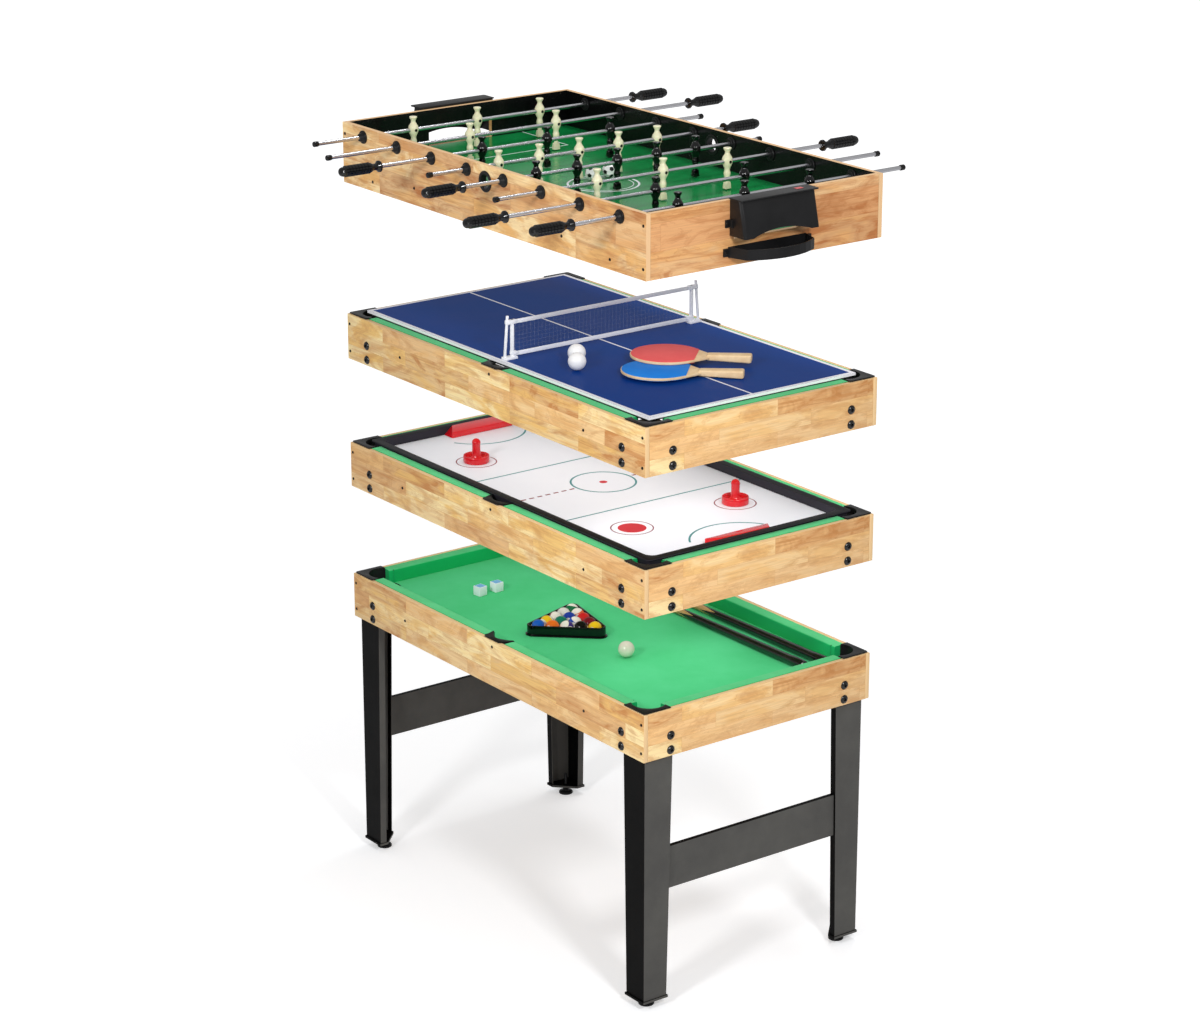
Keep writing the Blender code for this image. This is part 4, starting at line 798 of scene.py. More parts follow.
def add_covers(tier, body, rim, has_cups):
    bottom = rim + 0.0010
    housing_low = BED_TOP + HAIR if has_cups else rim - HOUSING_DROP
    bore_floor = BED_TOP - OVER if has_cups else rim - DISH_DEPTH
    seats = []
    for pocket, radius, outline in ((CORNER_POCKET, POCKET_RADIUS, CORNER),
                                    (MIDDLE_POCKET, MIDDLE_RADIUS, MIDDLE)):
        cover = plate("cover", outline, bottom, COVER_THICKNESS)
        if pocket == MIDDLE_POCKET:
            cut(cover, drum("mouth", MOUTH_RADIUS, bottom - OVER, bottom + OVER, MOUTH, 48))
        cut(cover, drum("bite", radius, bottom - OVER, bottom + OVER, pocket))
        soften(cover, 0.0008, 3)
        opened = tier != "tennis"
        parts = [cover, pocket_block(pocket, radius, housing_low, rim + HAIR, bore_floor, opened)]
        if has_cups:
            parts.append(pocket_cup(pocket, radius))
        seats.append(gather("seat", parts))
    corner, middle = seats
    parts = [corner, middle, copy_to(middle, flipped(1, -1))] + other_quarters(corner)
    if tier == "tennis":
        # The black frame carries the board, and its black stands in for the shadow in the gap under the
        # board's edge.
        board_seat_and_shade = block("board_seat_and_shade", (-BED_X - SEAT_AND_SHADE_WIDTH, -BED_Y - SEAT_AND_SHADE_WIDTH, rim),
                     (BED_X + SEAT_AND_SHADE_WIDTH, BED_Y + SEAT_AND_SHADE_WIDTH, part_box("tennis_board")[0].z - 2 * HAIR))
        inside = block("inside", (-BED_X, -BED_Y, rim - OVER), (BED_X, BED_Y, rim + OVER))
        parts.append(cut(board_seat_and_shade, inside))
    return dress(gather(f"{tier}_covers", parts), body, BLACK_PLASTIC, "black_plastic")


add_covers("billiards", "billiards_table", BASE_RIM, True)
add_covers("hockey", "hockey_box", HOCKEY_RIM, False)
add_covers("tennis", "tennis_box", TENNIS_RIM, False)
keep("billiards_bed", FELT_BED)

# %% [markdown]
# ## Bolts and screws
# Pairs of black domed bolts hold the legs and corners, and small dark screws hold the
# boards to the frames inside. A bolt is turned with a socket in its head, then copied
# to every place that shows one.

# %% Bolts and screws
BOLT = lathe("bolt", [(0, 0.0012), (0.0030, 0.0012), (0.0036, 0.0042), (0.0048, 0.0050),
                      (0.0080, 0.0038), (0.0102, 0.0016), (0.0110, 0.0004), (0.0110, 0), (0, 0)], 24)
SCREW = lathe("screw", [(0, 0.0004), (0.0012, 0.0006), (0.0018, 0.0012), (0.0032, 0.0010), (0.0038, 0.0002),
                        (0.0038, 0), (0, 0)], 16)
OUTWARD = {"near": (90, 'X'), "far": (-90, 'X'), "left": (-90, 'Y'), "right": (90, 'Y')}
SIDE_PLACE = {"near": -HALF_WIDTH, "far": HALF_WIDTH, "left": -HALF_LENGTH, "right": HALF_LENGTH}
BOLT_ALONG = {"near": 0.524, "far": 0.524, "left": 0.262, "right": 0.262}
BOLT_HEIGHTS = (0.015, 0.051)
LOW_BOX_SCREWS = ((-0.600, 0.091), (-0.600, 0.021), (0.600, 0.091), (0.600, 0.021), (-0.375, 0.055),
                  (0.006, 0.101), (0.379, 0.055))


def on_side(side, along, z):
    """The matrix that seats a fastener on one of the table's four sides."""
    across = SIDE_PLACE[side]
    x, y = (along, across) if side in ("near", "far") else (across, along)
    return at(x, y, z, *OUTWARD[side])


def add_fasteners(name, body, model, seats, material):
    """One piece from a bolt or a screw at every seat, each a side, a place along it and a height."""
    parts = [copy_to(model, on_side(*seat)) for seat in seats]
    return dress(gather(name, parts), body, material, "black_plastic", smooth=35)


def on_long_sides(floor, places):
    """The same places on the near and the far side, at heights above the box's underside."""
    return [(side, along, floor + height) for side in ("near", "far") for along, height in places]


for tier, body in (("billiards", "billiards_table"), ("hockey", "hockey_box"), ("tennis", "tennis_box")):
    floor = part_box(f"{tier}_frame")[0].z
    bolts = [(side, sign * along, floor + height) for height in BOLT_HEIGHTS for sign in (-1, 1)
             for side, along in BOLT_ALONG.items()]
    add_fasteners(f"{tier}_bolts", body, BOLT, bolts, BOLT_BLACK)
    add_fasteners(f"{tier}_screws", body, SCREW, on_long_sides(floor, LOW_BOX_SCREWS), DARK_STEEL)

# %% [markdown]
# ## Legs, rails and levelling feet
# The legs are folded sheet with lips and powder paint. Their solids already have that
# shape, so they keep their own meshes and get the paint, which carries painted light and
# shade, and eased edges. The feet are turned again, with a rounded rim and a thread under the cap.

# %% Paint on the legs, and new feet
for name in NODES:
    if name.startswith(("leg_", "cross_rail")):
        keep(name, LEG_PAINT_WITH_PAINTED_SHADE, 0.0008)

CREST, ROOT, THREAD_LOW, THREAD_STEP = 0.0040, 0.0034, 0.013, 0.0012
thread = [(CREST, THREAD_LOW + THREAD_STEP * i) if i % 2 == 0
          else (ROOT, THREAD_LOW + THREAD_STEP * i + THREAD_STEP / 2) for i in range(36)]
FOOT = lathe("foot", [(0, 0.0562), (ROOT, 0.0562)] + thread[::-1] + [
    (CREST, 0.0125), (0.0078, 0.0122), (0.0086, 0.0110), (0.0088, 0.0082), (0.0150, 0.0072),
    (0.0182, 0.0056), (0.0190, 0.0036), (0.0190, 0.0014), (0.0182, 0.0002), (0.0170, 0.0), (0, 0.0)], 28)
for corner in ("near_left", "far_left", "near_right", "far_right"):
    middle = middle_of(f"leveller_{corner}")
    dressed_copy(f"foot_{corner}", FOOT, at(middle.x, middle.y, 0), f"levelling_foot_{corner}",
                 BLACK_PLASTIC, "black_plastic", [f"leveller_{corner}"])
discard(FOOT)

# %% [markdown]
# ## Rack, balls and cue ball
# The rack is a black triangle with rounded corners on a thin base flange. Five rows of
# balls fill it. A ball starts as a sphere that is bisected where its colours meet, so
# that a stripe or a spot has a clean edge, and its paint is kept in a face attribute.

# %% The rack
RACK_PLACE = at(-0.030, -0.085, BED_TOP + HAIR, 47.7)
RACK_SIDE, RACK_CORNER, RACK_WALL, RACK_HEIGHT = 0.218, 0.016, 0.0045, 0.026


def rack_outline(inset):
    """The rack's triangle with round corners, drawn inwards by the inset."""
    reach = RACK_SIDE / (2 * math.sqrt(3)) - RACK_CORNER
    points = []
    for turn in (210, 330, 90):
        direction = math.radians(turn)
        centre = (2 * reach * math.cos(direction), 2 * reach * math.sin(direction))
        points += arc(centre, RACK_CORNER - inset, turn - 60, turn + 60, 8)
    return points


wall = plate("rack wall", rack_outline(0.0), 0, RACK_HEIGHT)
flange = plate("rack flange", rack_outline(-0.004), 0, 0.0028)
for ring in (wall, flange):
    cut(ring, plate("inside", rack_outline(RACK_WALL), -OVER, 0.06))
    soften(ring, 0.0008)
rack = move_to(gather("rack", [wall, flange]), RACK_PLACE)
dress(rack, "rack", BLACK_GLOSS, "black_plastic", ["ball_rack"])

# %% Balls in the rack
BALL_RADIUS = 0.0175
BALL_IVORY = rgb(240, 234, 222)
SOLID, STRIPED = False, True
BALL_COLORS = [
    ((24, 92, 190), SOLID), ((232, 112, 34), SOLID), ((62, 40, 120), STRIPED), ((14, 14, 16), SOLID),
    ((240, 196, 30), SOLID), ((244, 200, 36), STRIPED), ((20, 120, 92), SOLID), ((30, 70, 172), STRIPED),
    ((120, 20, 34), SOLID), ((124, 22, 36), STRIPED), ((34, 60, 160), SOLID), ((206, 34, 36), SOLID),
    ((226, 222, 214), STRIPED), ((232, 96, 36), STRIPED), ((30, 110, 70), STRIPED),
]


def ball(name, radius, color, striped):
    """A ball with a stripe's edges and the number's spot cut in by bisecting."""
    bpy.ops.object.select_all(action='DESELECT')
    bpy.ops.mesh.primitive_uv_sphere_add(segments=28, ring_count=16, radius=radius)
    obj = bpy.context.object
    obj.name = name
    stripe, spot = 0.52 * radius, 0.88 * radius
    for place, normal in (((0, 0, stripe), (0, 0, 1)), ((0, 0, -stripe), (0, 0, 1)),
                          ((spot, 0, 0), (1, 0, 0)), ((-spot, 0, 0), (1, 0, 0))):
        with editing(obj):
            bpy.ops.mesh.bisect(plane_co=place, plane_no=normal)
    paint = obj.data.attributes.new("Paint", 'FLOAT_COLOR', 'FACE')
    for face in obj.data.polygons:
        bare = abs(face.center.x) > spot or (striped and abs(face.center.z) > stripe)
        paint.data[face.index].color = BALL_IVORY if bare else color
    return obj


def painted_finish(name, rough, **shader_values):
    """A gloss finish that takes its colour from the Paint attribute."""
    material = finish(name, (1, 1, 1, 1), (1, 1, 1, 1), rough=rough, bump=0.03, **shader_values)
    tree, _, group = inside_of(material)
    paint = node(tree, 'ShaderNodeAttribute', attribute_name="Paint").outputs["Color"]
    deeper = blend_node(tree, 1.0, paint, (0.94, 0.94, 0.94, 1), 'MULTIPLY')
    tree.links.new(paint, group.inputs["Color A"])
    tree.links.new(deeper, group.inputs["Color B"])
    return material


BALL_RESIN = painted_finish("Ball resin", (0.06, 0.12), Specular_IOR_Level=0.4)
spots = [((i - (4 - row) / 2) * 2 * BALL_RADIUS, (row - 4 / 3) * math.sqrt(3) * BALL_RADIUS)
         for row in range(5) for i in range(5 - row)]
balls = []
for i, ((x, y), (color, striped)) in enumerate(zip(spots, BALL_COLORS)):
    single = ball("ball", BALL_RADIUS - 0.0001, rgb(*color), striped)
    tumble = Matrix.Rotation(1.1 * i, 4, 'Z') @ Matrix.Rotation(0.5 + 0.9 * i, 4, 'X')
    balls.append(move_to(single, RACK_PLACE @ at(x, y, BALL_RADIUS) @ tumble))
dress(gather("racked_balls", balls), "billiards_table", BALL_RESIN, smooth=60)

# %% Cue ball and chalk
CUE_IVORY = finish("Ivory cue ball", rgb(236, 230, 214), rgb(226, 219, 202), rough=(0.1, 0.2), bump=0.03)
CUE_BALL = 0.0200
cue_ball = ball("cue_ball", CUE_BALL, BALL_IVORY, SOLID)
move_to(cue_ball, at(0.212, -0.089, BED_TOP + HAIR + CUE_BALL))
dress(cue_ball, "billiards_table", CUE_IVORY, smooth=60)

CHALK_BLUE = finish("Blue chalk", rgb(104, 166, 218), rgb(120, 178, 224), rough=(0.85, 0.95),
                    grain=1200.0, bump=0.5)
CHALK_PAPER = finish("Chalk paper", rgb(250, 252, 255), rgb(240, 246, 253), rough=(0.6, 0.7), bump=0.15)
CHALK_HALF = 0.0125
chalk = block("chalk", (-CHALK_HALF, -CHALK_HALF, 0), (CHALK_HALF, CHALK_HALF, 0.024))
soften(chalk, 0.001)
chalk.data.materials.append(CHALK_PAPER)
chalk.data.materials.append(CHALK_BLUE)
with editing(chalk, faces=lambda centre, normal: normal.z > 0.9 and centre.z > 0.02):
    bpy.ops.mesh.inset(thickness=0.0014)
    bpy.ops.mesh.extrude_region_move(TRANSFORM_OT_translate={"value": (0, 0, -0.0004)})
    chalk.active_material_index = 1
    bpy.ops.object.material_slot_assign()
chalks = [copy_to(chalk, at(-0.361, y, BED_TOP + HAIR, turn)) for y, turn in ((-0.120, 8), (-0.069, 2))]
discard(chalk)
dress(gather("chalks", chalks), "billiards_table", None)

# %% [markdown]
# ## Cues
# A cue is one long taper: leather tip, white ferrule, pale shaft and a black butt that
# meets the shaft in sharp points. It is turned from its profile, and the colours change
# along its length, so the finish reads the distance from the tip.

# %% Cues
BUTT, TIP = 0.0127, 0.0045
BUTT_START, POINT_REACH = 0.56, 0.12
LEATHER_END, FERRULE_END = 0.006, 0.020


def cue_finish(name, tip_x, length):
    """Colours along the cue; the butt's points come from the angle round its axis."""
    material = finish(name, rgb(214, 170, 112), rgb(198, 152, 96), rough=(0.16, 0.28), cloud=30.0,
                      bump=0.05, Coat_Weight=0.3)
    tree, shader, group = inside_of(material)
    where = coordinates(tree)
    x = separate(tree, where["Object"])[0]
    facing = separate(tree, where["Normal"])
    angle = math_node(tree, 'ARCTAN2', facing[1], facing[2])
    wave = math_node(tree, 'PINGPONG', times(tree, angle, 4 / math.tau), 0.5)
    reach = times(tree, wave, POINT_REACH)
    black = above(tree, math_node(tree, 'SUBTRACT', x, reach), tip_x + BUTT_START * length)
    ferrule = math_node(tree, 'LESS_THAN', x, tip_x + FERRULE_END)
    leather = math_node(tree, 'LESS_THAN', x, tip_x + LEATHER_END)
    color = blend_node(tree, black, group.outputs["Color"], rgb(14, 14, 15))
    color = blend_node(tree, ferrule, color, rgb(238, 236, 228))
    color = blend_node(tree, leather, color, rgb(70, 110, 150))
    tree.links.new(color, shader.inputs["Base Color"])
    return material


for side in ("near", "far"):
    low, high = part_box(f"cue_{side}")
    length = high.x - low.x
    profile = [(0, 0), (0.0030, 0.0004), (0.0042, 0.0030), (0.0044, LEATHER_END), (TIP, FERRULE_END),
               (0.0046, 0.0202), (0.0078, length * 0.45), (0.0092, length * BUTT_START),
               (BUTT - 0.0006, length * 0.955), (BUTT, length * 0.957), (BUTT, length - 0.012),
               (BUTT - 0.001, length - 0.008), (BUTT - 0.001, length - 0.002), (BUTT - 0.0035, length),
               (0, length)]
    cue = lathe(f"cue_stick_{side}", profile, 20)
    tilt = math.degrees(math.asin((BUTT - TIP) / length))
    move_to(cue, at(low.x, (low.y + high.y) / 2, BED_TOP + HAIR + TIP, 90 - tilt, 'Y'))
    dress(cue, f"{side}_cue", cue_finish(f"Cue {side}", low.x, length), "cue_wood", [f"cue_{side}"])

# %% [markdown]
# ## Push hockey top
# A black moulded surround lies on the covers, with walls that drop to a glossy white
# bed. The bed carries printed lines: they are thin strips and rings a fifth of a
# millimetre proud, each in its own colour.


# %% Surround and bed
def rounded(half_x, half_y, radius):
    """The outline of a rectangle with round corners."""
    points = []
    for x, y, start in ((1, 1, 0), (-1, 1, 90), (-1, -1, 180), (1, -1, 270)):
        centre = (x * (half_x - radius), y * (half_y - radius))
        points += arc(centre, radius, start, start + 90, 6)
    return points


TOP_LOW, TOP_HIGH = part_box("hockey_top")
LIP_TOP, LIP_THICKNESS = TOP_HIGH.z, 0.003
WALL_WIDTH, WALL_DEPTH, INSIDE_CORNER = 0.021, 0.021, 0.022
HOCKEY_BED = LIP_TOP - WALL_DEPTH
INSIDE_X = TOP_HIGH.x - WALL_WIDTH
INSIDE_Y = TOP_HIGH.y - WALL_WIDTH
lip = plate("lip", rounded(TOP_HIGH.x, TOP_HIGH.y, 0.010), LIP_TOP - LIP_THICKNESS, LIP_THICKNESS)
tub = plate("tub", rounded(BED_X - 0.002, BED_Y - 0.002, 0.004), TOP_LOW.z,
            LIP_TOP - LIP_THICKNESS / 2 - TOP_LOW.z)
surround = cut(lip, tub, operation='UNION')
cut(surround, plate("recess", rounded(INSIDE_X, INSIDE_Y, INSIDE_CORNER), TOP_LOW.z - OVER, 0.08))
soften(surround, 0.0012, 3)
surround.name = "hockey_surround"
dress(surround, "hockey_box", CHARCOAL_WITH_PAINTED_LIGHT, "black_plastic")
hockey_bed = plate("hockey_bed", rounded(INSIDE_X - HAIR, INSIDE_Y - HAIR, INSIDE_CORNER - HAIR),
                   TOP_LOW.z + HAIR, HOCKEY_BED - TOP_LOW.z - HAIR)
soften(hockey_bed, 0.0004)
dress(hockey_bed, "hockey_box", WHITE_BED, "hockey_board", ["hockey_top"])


# %% Printed lines
PROUD = 0.0002


def strip(x, y, other_x, other_y, bed):
    """A printed line between two corners, given in any order."""
    return block("strip", (min(x, other_x), min(y, other_y), bed - PROUD),
                 (max(x, other_x), max(y, other_y), bed + PROUD))


def ring_line(x, y, radius, width, bed, start=0, sweep=360):
    """A printed ring, or an arc of one, spun from a small square section."""
    inner, outer = radius - width / 2, radius + width / 2
    low, high = bed - PROUD, bed + PROUD
    if sweep < 360:
        points = arc((x, y), outer, start, start + sweep, 24) + arc((x, y), inner, start + sweep, start, 24)
        return plate("arc", points, low, high - low)
    section = [(inner, low), (outer, low), (outer, high), (inner, high), (inner, low)]
    return move_to(lathe("ring", section, 48), at(x, y, 0))


def dot(x, y, radius, bed):
    """A printed spot."""
    return plate("dot", arc((x, y), radius, 0, 352.5, 47), bed - PROUD, 2 * PROUD)


THIRD, TEAL_WIDTH = 0.185, 0.005
CENTRE_RING, GOAL_RING, GOAL_CENTRE, GOAL_SWEEP = 0.080, 0.125, INSIDE_X - 0.012, 124
SPOT_X, SPOT_Y, SPOT_RING = 0.320, 0.155, 0.050
DASH_START, DASH, DASH_STEP = 0.012, 0.014, 0.024
teal = [strip(s * THIRD - TEAL_WIDTH / 2, 0.001 - INSIDE_Y, s * THIRD + TEAL_WIDTH / 2,
              INSIDE_Y - 0.001, HOCKEY_BED) for s in (-1, 1)]
teal.append(ring_line(0, 0, CENTRE_RING, TEAL_WIDTH, HOCKEY_BED))
teal += [ring_line(x, 0, GOAL_RING, TEAL_WIDTH, HOCKEY_BED, faces - GOAL_SWEEP / 2, GOAL_SWEEP)
         for x, faces in ((-GOAL_CENTRE, 0), (GOAL_CENTRE, 180))]
dress(gather("hockey_teal_lines", teal), "hockey_box", LINE_TEAL)
starts = [DASH_START - INSIDE_Y + DASH_STEP * i for i in range(8)]
maroon = [strip(-0.003, start, 0.003, start + DASH, HOCKEY_BED) for start in starts]
maroon += [copy_to(dash, flipped(1, -1)) for dash in maroon]
maroon += [ring_line(x * SPOT_X, y * SPOT_Y, SPOT_RING, 0.003, HOCKEY_BED)
           for x in (-1, 1) for y in (-1, 1)]
dress(gather("hockey_maroon_lines", maroon), "hockey_box", LINE_MAROON)
red = [dot(x * SPOT_X, y * SPOT_Y, radius, HOCKEY_BED) for x, y, radius in (
    (0, 0, 0.010), (-1, 1, 0.034), (1, -1, 0.034), (-1, -1, 0.030), (1, 1, 0.030))]
dress(gather("hockey_red_spots", red), "hockey_box", LINE_RED)

# %% [markdown]
# ## Hockey goals and pushers
# Each goal is a red bar against the end wall, with a top that slopes to its front and
# slanted ends. A pusher is a dished disc with a round knob, turned in one piece.

# %% Goals
GOAL_HALF, GOAL_DEPTH, GOAL_HEIGHT, GOAL_SLOPE = 0.094, 0.038, 0.022, 0.007
goal = block("goal", (INSIDE_X - GOAL_DEPTH, -GOAL_HALF, HOCKEY_BED + HAIR),
             (INSIDE_X - HAIR, GOAL_HALF, HOCKEY_BED + GOAL_HEIGHT))
with editing(goal, points=lambda co: co.z > HOCKEY_BED + 0.01 and co.x > INSIDE_X - 0.01):
    bpy.ops.transform.resize(value=(1, 0.72, 1), center_override=(INSIDE_X, 0, HOCKEY_BED))
with editing(goal, points=lambda co: co.z > HOCKEY_BED + 0.01 and co.x < INSIDE_X - 0.01):
    bpy.ops.transform.translate(value=(0, 0, -GOAL_SLOPE))
soften(goal, 0.0014, 3, angle=12)
goals = gather("hockey_goals", [goal, copy_to(goal, Matrix.Rotation(math.pi, 4, 'Z'))])
dress(goals, "hockey_box", RED_GLOSS, "red_plastic")

# %% Pushers
KNOB = 0.0110
KNOB_Z = 0.0608 - KNOB
PUSHER = lathe("pusher", [(0, 0.0005), (0.0302, 0.0), (0.0322, 0.0008), (0.0330, 0.0030), (0.0328, 0.0165),
                          (0.0320, 0.0180), (0.0306, 0.0180), (0.0296, 0.0168), (0.0286, 0.0125),
                          (0.0250, 0.0112), (0.0160, 0.0118), (0.0138, 0.0140), (0.0120, 0.0190),
                          (0.0108, 0.0270), (0.0102, 0.0360), (0.0104, 0.0420)]
               + [(KNOB * math.cos(math.radians(a)), KNOB_Z + KNOB * math.sin(math.radians(a)))
                  for a in (-20, 0, 15, 30, 45, 60, 75)] + [(0, KNOB_Z + KNOB)], 40)
for side in ("left", "right"):
    name = f"pusher_{side}"
    place = at(middle_of(name).x, middle_of(name).y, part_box(name)[0].z + HAIR)
    dressed_copy(f"mallet_{side}", PUSHER, place, f"{side}_pusher", RED_GLOSS, "red_plastic", [name],
                 smooth=50)
discard(PUSHER)

# %% [markdown]
# ## Table tennis board, net, bats and balls
# The navy board keeps its own solid. White strips mark its border and the long centre
# line. The net hangs on white tapes between two small frames, each with an upright, a
# slanted strut and square clips.

# %% Board lines
keep("tennis_board", NAVY_BOARD)
edge_x, edge_y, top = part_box("tennis_board")[1]
LINE, LINE_INSET = 0.010, 0.0005
lines = [strip(LINE_INSET - edge_x, s * (edge_y - LINE), edge_x - LINE_INSET,
               s * (edge_y - LINE_INSET), top) for s in (-1, 1)]
lines += [strip(s * (edge_x - LINE), LINE - edge_y, s * (edge_x - LINE_INSET), edge_y - LINE, top)
          for s in (-1, 1)]
lines.append(strip(-edge_x + LINE, -0.0025, edge_x - LINE, 0.0025, top))
dress(gather("tennis_lines", lines), "tennis_box", LINE_WHITE)

# %% Net
NET_BASE = top + HAIR
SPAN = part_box("table_net")[1].y
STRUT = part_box("table_net")[1].z - NET_BASE - 0.002
UPRIGHT = STRUT - 0.011
TAPE, TAPE_LOW, TAPE_TOP = 0.010, 0.006, UPRIGHT - 0.001
TAPE_END, THREAD_END = SPAN - 0.024, SPAN - 0.027
MESH_STEP, MESH_ROWS, THREAD = 0.011, 7, 0.0002


def net_bar(name, half, start, end, low, high):
    """A bar of the net between two places along Y, at heights above the board."""
    return block(name, (-half, start, NET_BASE + low), (half, end, NET_BASE + high))


upright = net_bar("upright", 0.004, 0.021 - SPAN, 0.028 - SPAN, 0, UPRIGHT)
foot = net_bar("net foot", 0.010, -SPAN, 0.034 - SPAN, 0, 0.006)
strut = net_bar("strut", 0.003, -SPAN, 0.005 - SPAN, 0, STRUT)
with editing(strut, points=lambda co: co.z > NET_BASE + 0.05):
    bpy.ops.transform.translate(value=(0, 0.009, 0))
clip = net_bar("clip", 0.005, 0.007 - SPAN, 0.034 - SPAN, UPRIGHT - 0.010, UPRIGHT)
low_clip = net_bar("low clip", 0.005, 0.020 - SPAN, 0.036 - SPAN, 0.010, 0.018)
stand = [soften(part, 0.0008) for part in (upright, foot, strut, clip, low_clip)]
tapes = [soften(net_bar("tape", 0.0012, -TAPE_END, TAPE_END, low, low + TAPE), 0.0005)
         for low in (TAPE_LOW, TAPE_TOP - TAPE)]
net_frame = gather("net_frame", stand + [copy_to(part, flipped(1, -1)) for part in stand] + tapes)
dress(net_frame, "net", WHITE_PLASTIC, "white_plastic", ["table_net"])
columns = int((2 * SPAN - 0.060) / MESH_STEP)
threads = []
for i in range(columns + 1):
    y = (i - columns / 2) * MESH_STEP
    threads.append(net_bar("thread", THREAD, y - THREAD, y + THREAD, TAPE_LOW + TAPE - 0.001, TAPE_TOP))
for i in range(1, MESH_ROWS):
    z = TAPE_LOW + TAPE + i * (TAPE_TOP - TAPE_LOW - 2 * TAPE) / MESH_ROWS
    threads.append(net_bar("thread", THREAD / 2, -THREAD_END, THREAD_END, z - THREAD, z + THREAD))
NET_THREAD = finish("Net thread", rgb(196, 200, 226), rgb(180, 186, 216), rough=(0.6, 0.7), Alpha=0.16)
dress(gather("net_threads", threads), "net", NET_THREAD, "white_plastic")

# %% Bats
HEAD_HALF_LENGTH, HEAD_HALF_WIDTH = 0.086, 0.080
BAT_LENGTH, GRIP_START, GRIP_HALF, GRIP_TOP = 0.288, 0.182, 0.0145, 0.0198
BLADE_LOW, BLADE, RUBBER = 0.0071, 0.0058, 0.0016


def bat_outline(inset, neck_half, neck_x):
    """Blade from above, head at the left, closing at the neck."""
    points = []
    for i in range(41):
        angle = math.radians(40 + i * 7)
        points.append((HEAD_HALF_LENGTH + (HEAD_HALF_LENGTH - inset) * math.cos(angle),
                       (HEAD_HALF_WIDTH - inset) * math.sin(angle)))
    return points + [(neck_x, -neck_half), (neck_x, neck_half)]


def add_bat(color_name, rubber, centre, turn):
    """A wooden blade and grip, and two sheets of rubber in the side's colour."""
    name, body = f"paddle_{color_name}", f"{color_name}_paddle"
    blade = soften(plate("blade", bat_outline(0, 0.0140, 0.190), BLADE_LOW, BLADE), 0.0008)
    covers = [soften(plate("rubber", bat_outline(0.0022, 0.044, 0.158), z, RUBBER), 0.0003)
              for z in (BLADE_LOW + BLADE, BLADE_LOW - RUBBER)]
    grip = block("grip", (GRIP_START, -GRIP_HALF, 0.0002), (BAT_LENGTH, GRIP_HALF, GRIP_TOP))
    soften(grip, 0.0045, 4)
    with editing(grip, points=lambda co: co.x < GRIP_START + 0.008):
        bpy.ops.transform.resize(value=(1, 0.92, 0.72), center_override=(GRIP_START, 0, 0.010))
    place = at(*centre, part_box(name)[0].z, turn) @ Matrix.Translation((-BAT_LENGTH / 2, 0, 0))
    wood = move_to(gather(f"bat_{color_name}", [blade, grip]), place)
    dress(wood, body, PALE_WOOD, name, [name], smooth=40)
    dress(move_to(gather(f"bat_rubber_{color_name}", covers), place), body, rubber, name)


add_bat("blue", PADDLE_BLUE, (0.354, -0.036), 45)
add_bat("red", PADDLE_RED, (0.284, 0.044), 44)


# %% Table tennis balls
def seamed_ball(name, radius):
    """A hollow ball's two halves meet in a faint seam."""
    rim = [(radius * math.sin(math.radians(a)), -radius * math.cos(math.radians(a)))
           for a in range(0, 181, 9)]
    rim[0], rim[-1] = (0, -radius), (0, radius)
    rim[10] = (radius * 0.996, 0)
    return lathe(name, rim, 32)


BALL_WHITE = finish("Table tennis ball", rgb(246, 246, 246), rgb(238, 238, 240), rough=(0.4, 0.5), bump=0.1)
TENNIS_BALL = 0.0215
pair = [move_to(seamed_ball("ball", TENNIS_BALL), at(x, y, top + HAIR + TENNIS_BALL, 60, 'X'))
        for x, y in ((0.172, -0.205), (0.112, -0.162))]
dress(gather("tennis_balls", pair), "tennis_box", BALL_WHITE, smooth=60)

# %% [markdown]
# ## Foosball box
# The side and end boards keep their solids, with the holes for the rods. Outside they
# carry the block wood print in taller staves and a redder tone, and inside they are
# glossy black. One material does both, because a board's inner face looks back at the
# middle of the box.

# %% Foosball panels and field
FOOS_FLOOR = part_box("foosball_side_near")[0].z
TOP_BOX_WOOD = (rgb(254, 224, 170), rgb(236, 184, 116), rgb(222, 166, 114), rgb(184, 118, 68),
                rgb(228, 188, 142))
FOOS_WOOD = block_wood("Block wood, foosball", FOOS_FLOOR, TOP_BOX_WOOD, stave=(0.40, 0.0625),
                       shift=2.3, blush=0.5)
tree, shader, group = inside_of(FOOS_WOOD)
wood = group.outputs
where = coordinates(tree)
outwards = dot_product(tree, stretched(tree, where["Normal"], (1, 1, 0)), where["Object"])
inside = math_node(tree, 'LESS_THAN', outwards, -0.2)
smudge = noise(tree, where["Object"], 9.0, 3.0)
tree.links.new(blend_node(tree, inside, wood["Color"], rgb(10, 10, 11)), shader.inputs["Base Color"])
lacquer = spread(tree, smudge, 0.3, 0.7, 0.16, 0.30)
rough = blend_value(tree, inside, wood["Roughness"], lacquer)
tree.links.new(rough, shader.inputs["Roughness"])
for name in NODES:
    if name.startswith(("foosball_side", "foosball_end")):
        keep(name, FOOS_WOOD)
    if name.startswith("ball_tray"):
        keep(name, BLACK_PLASTIC, 0.0007)
keep("foosball_field", FIELD_GREEN)
FIELD_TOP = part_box("foosball_field")[1].z
print("foosball floor", FOOS_FLOOR, "field", FIELD_TOP)

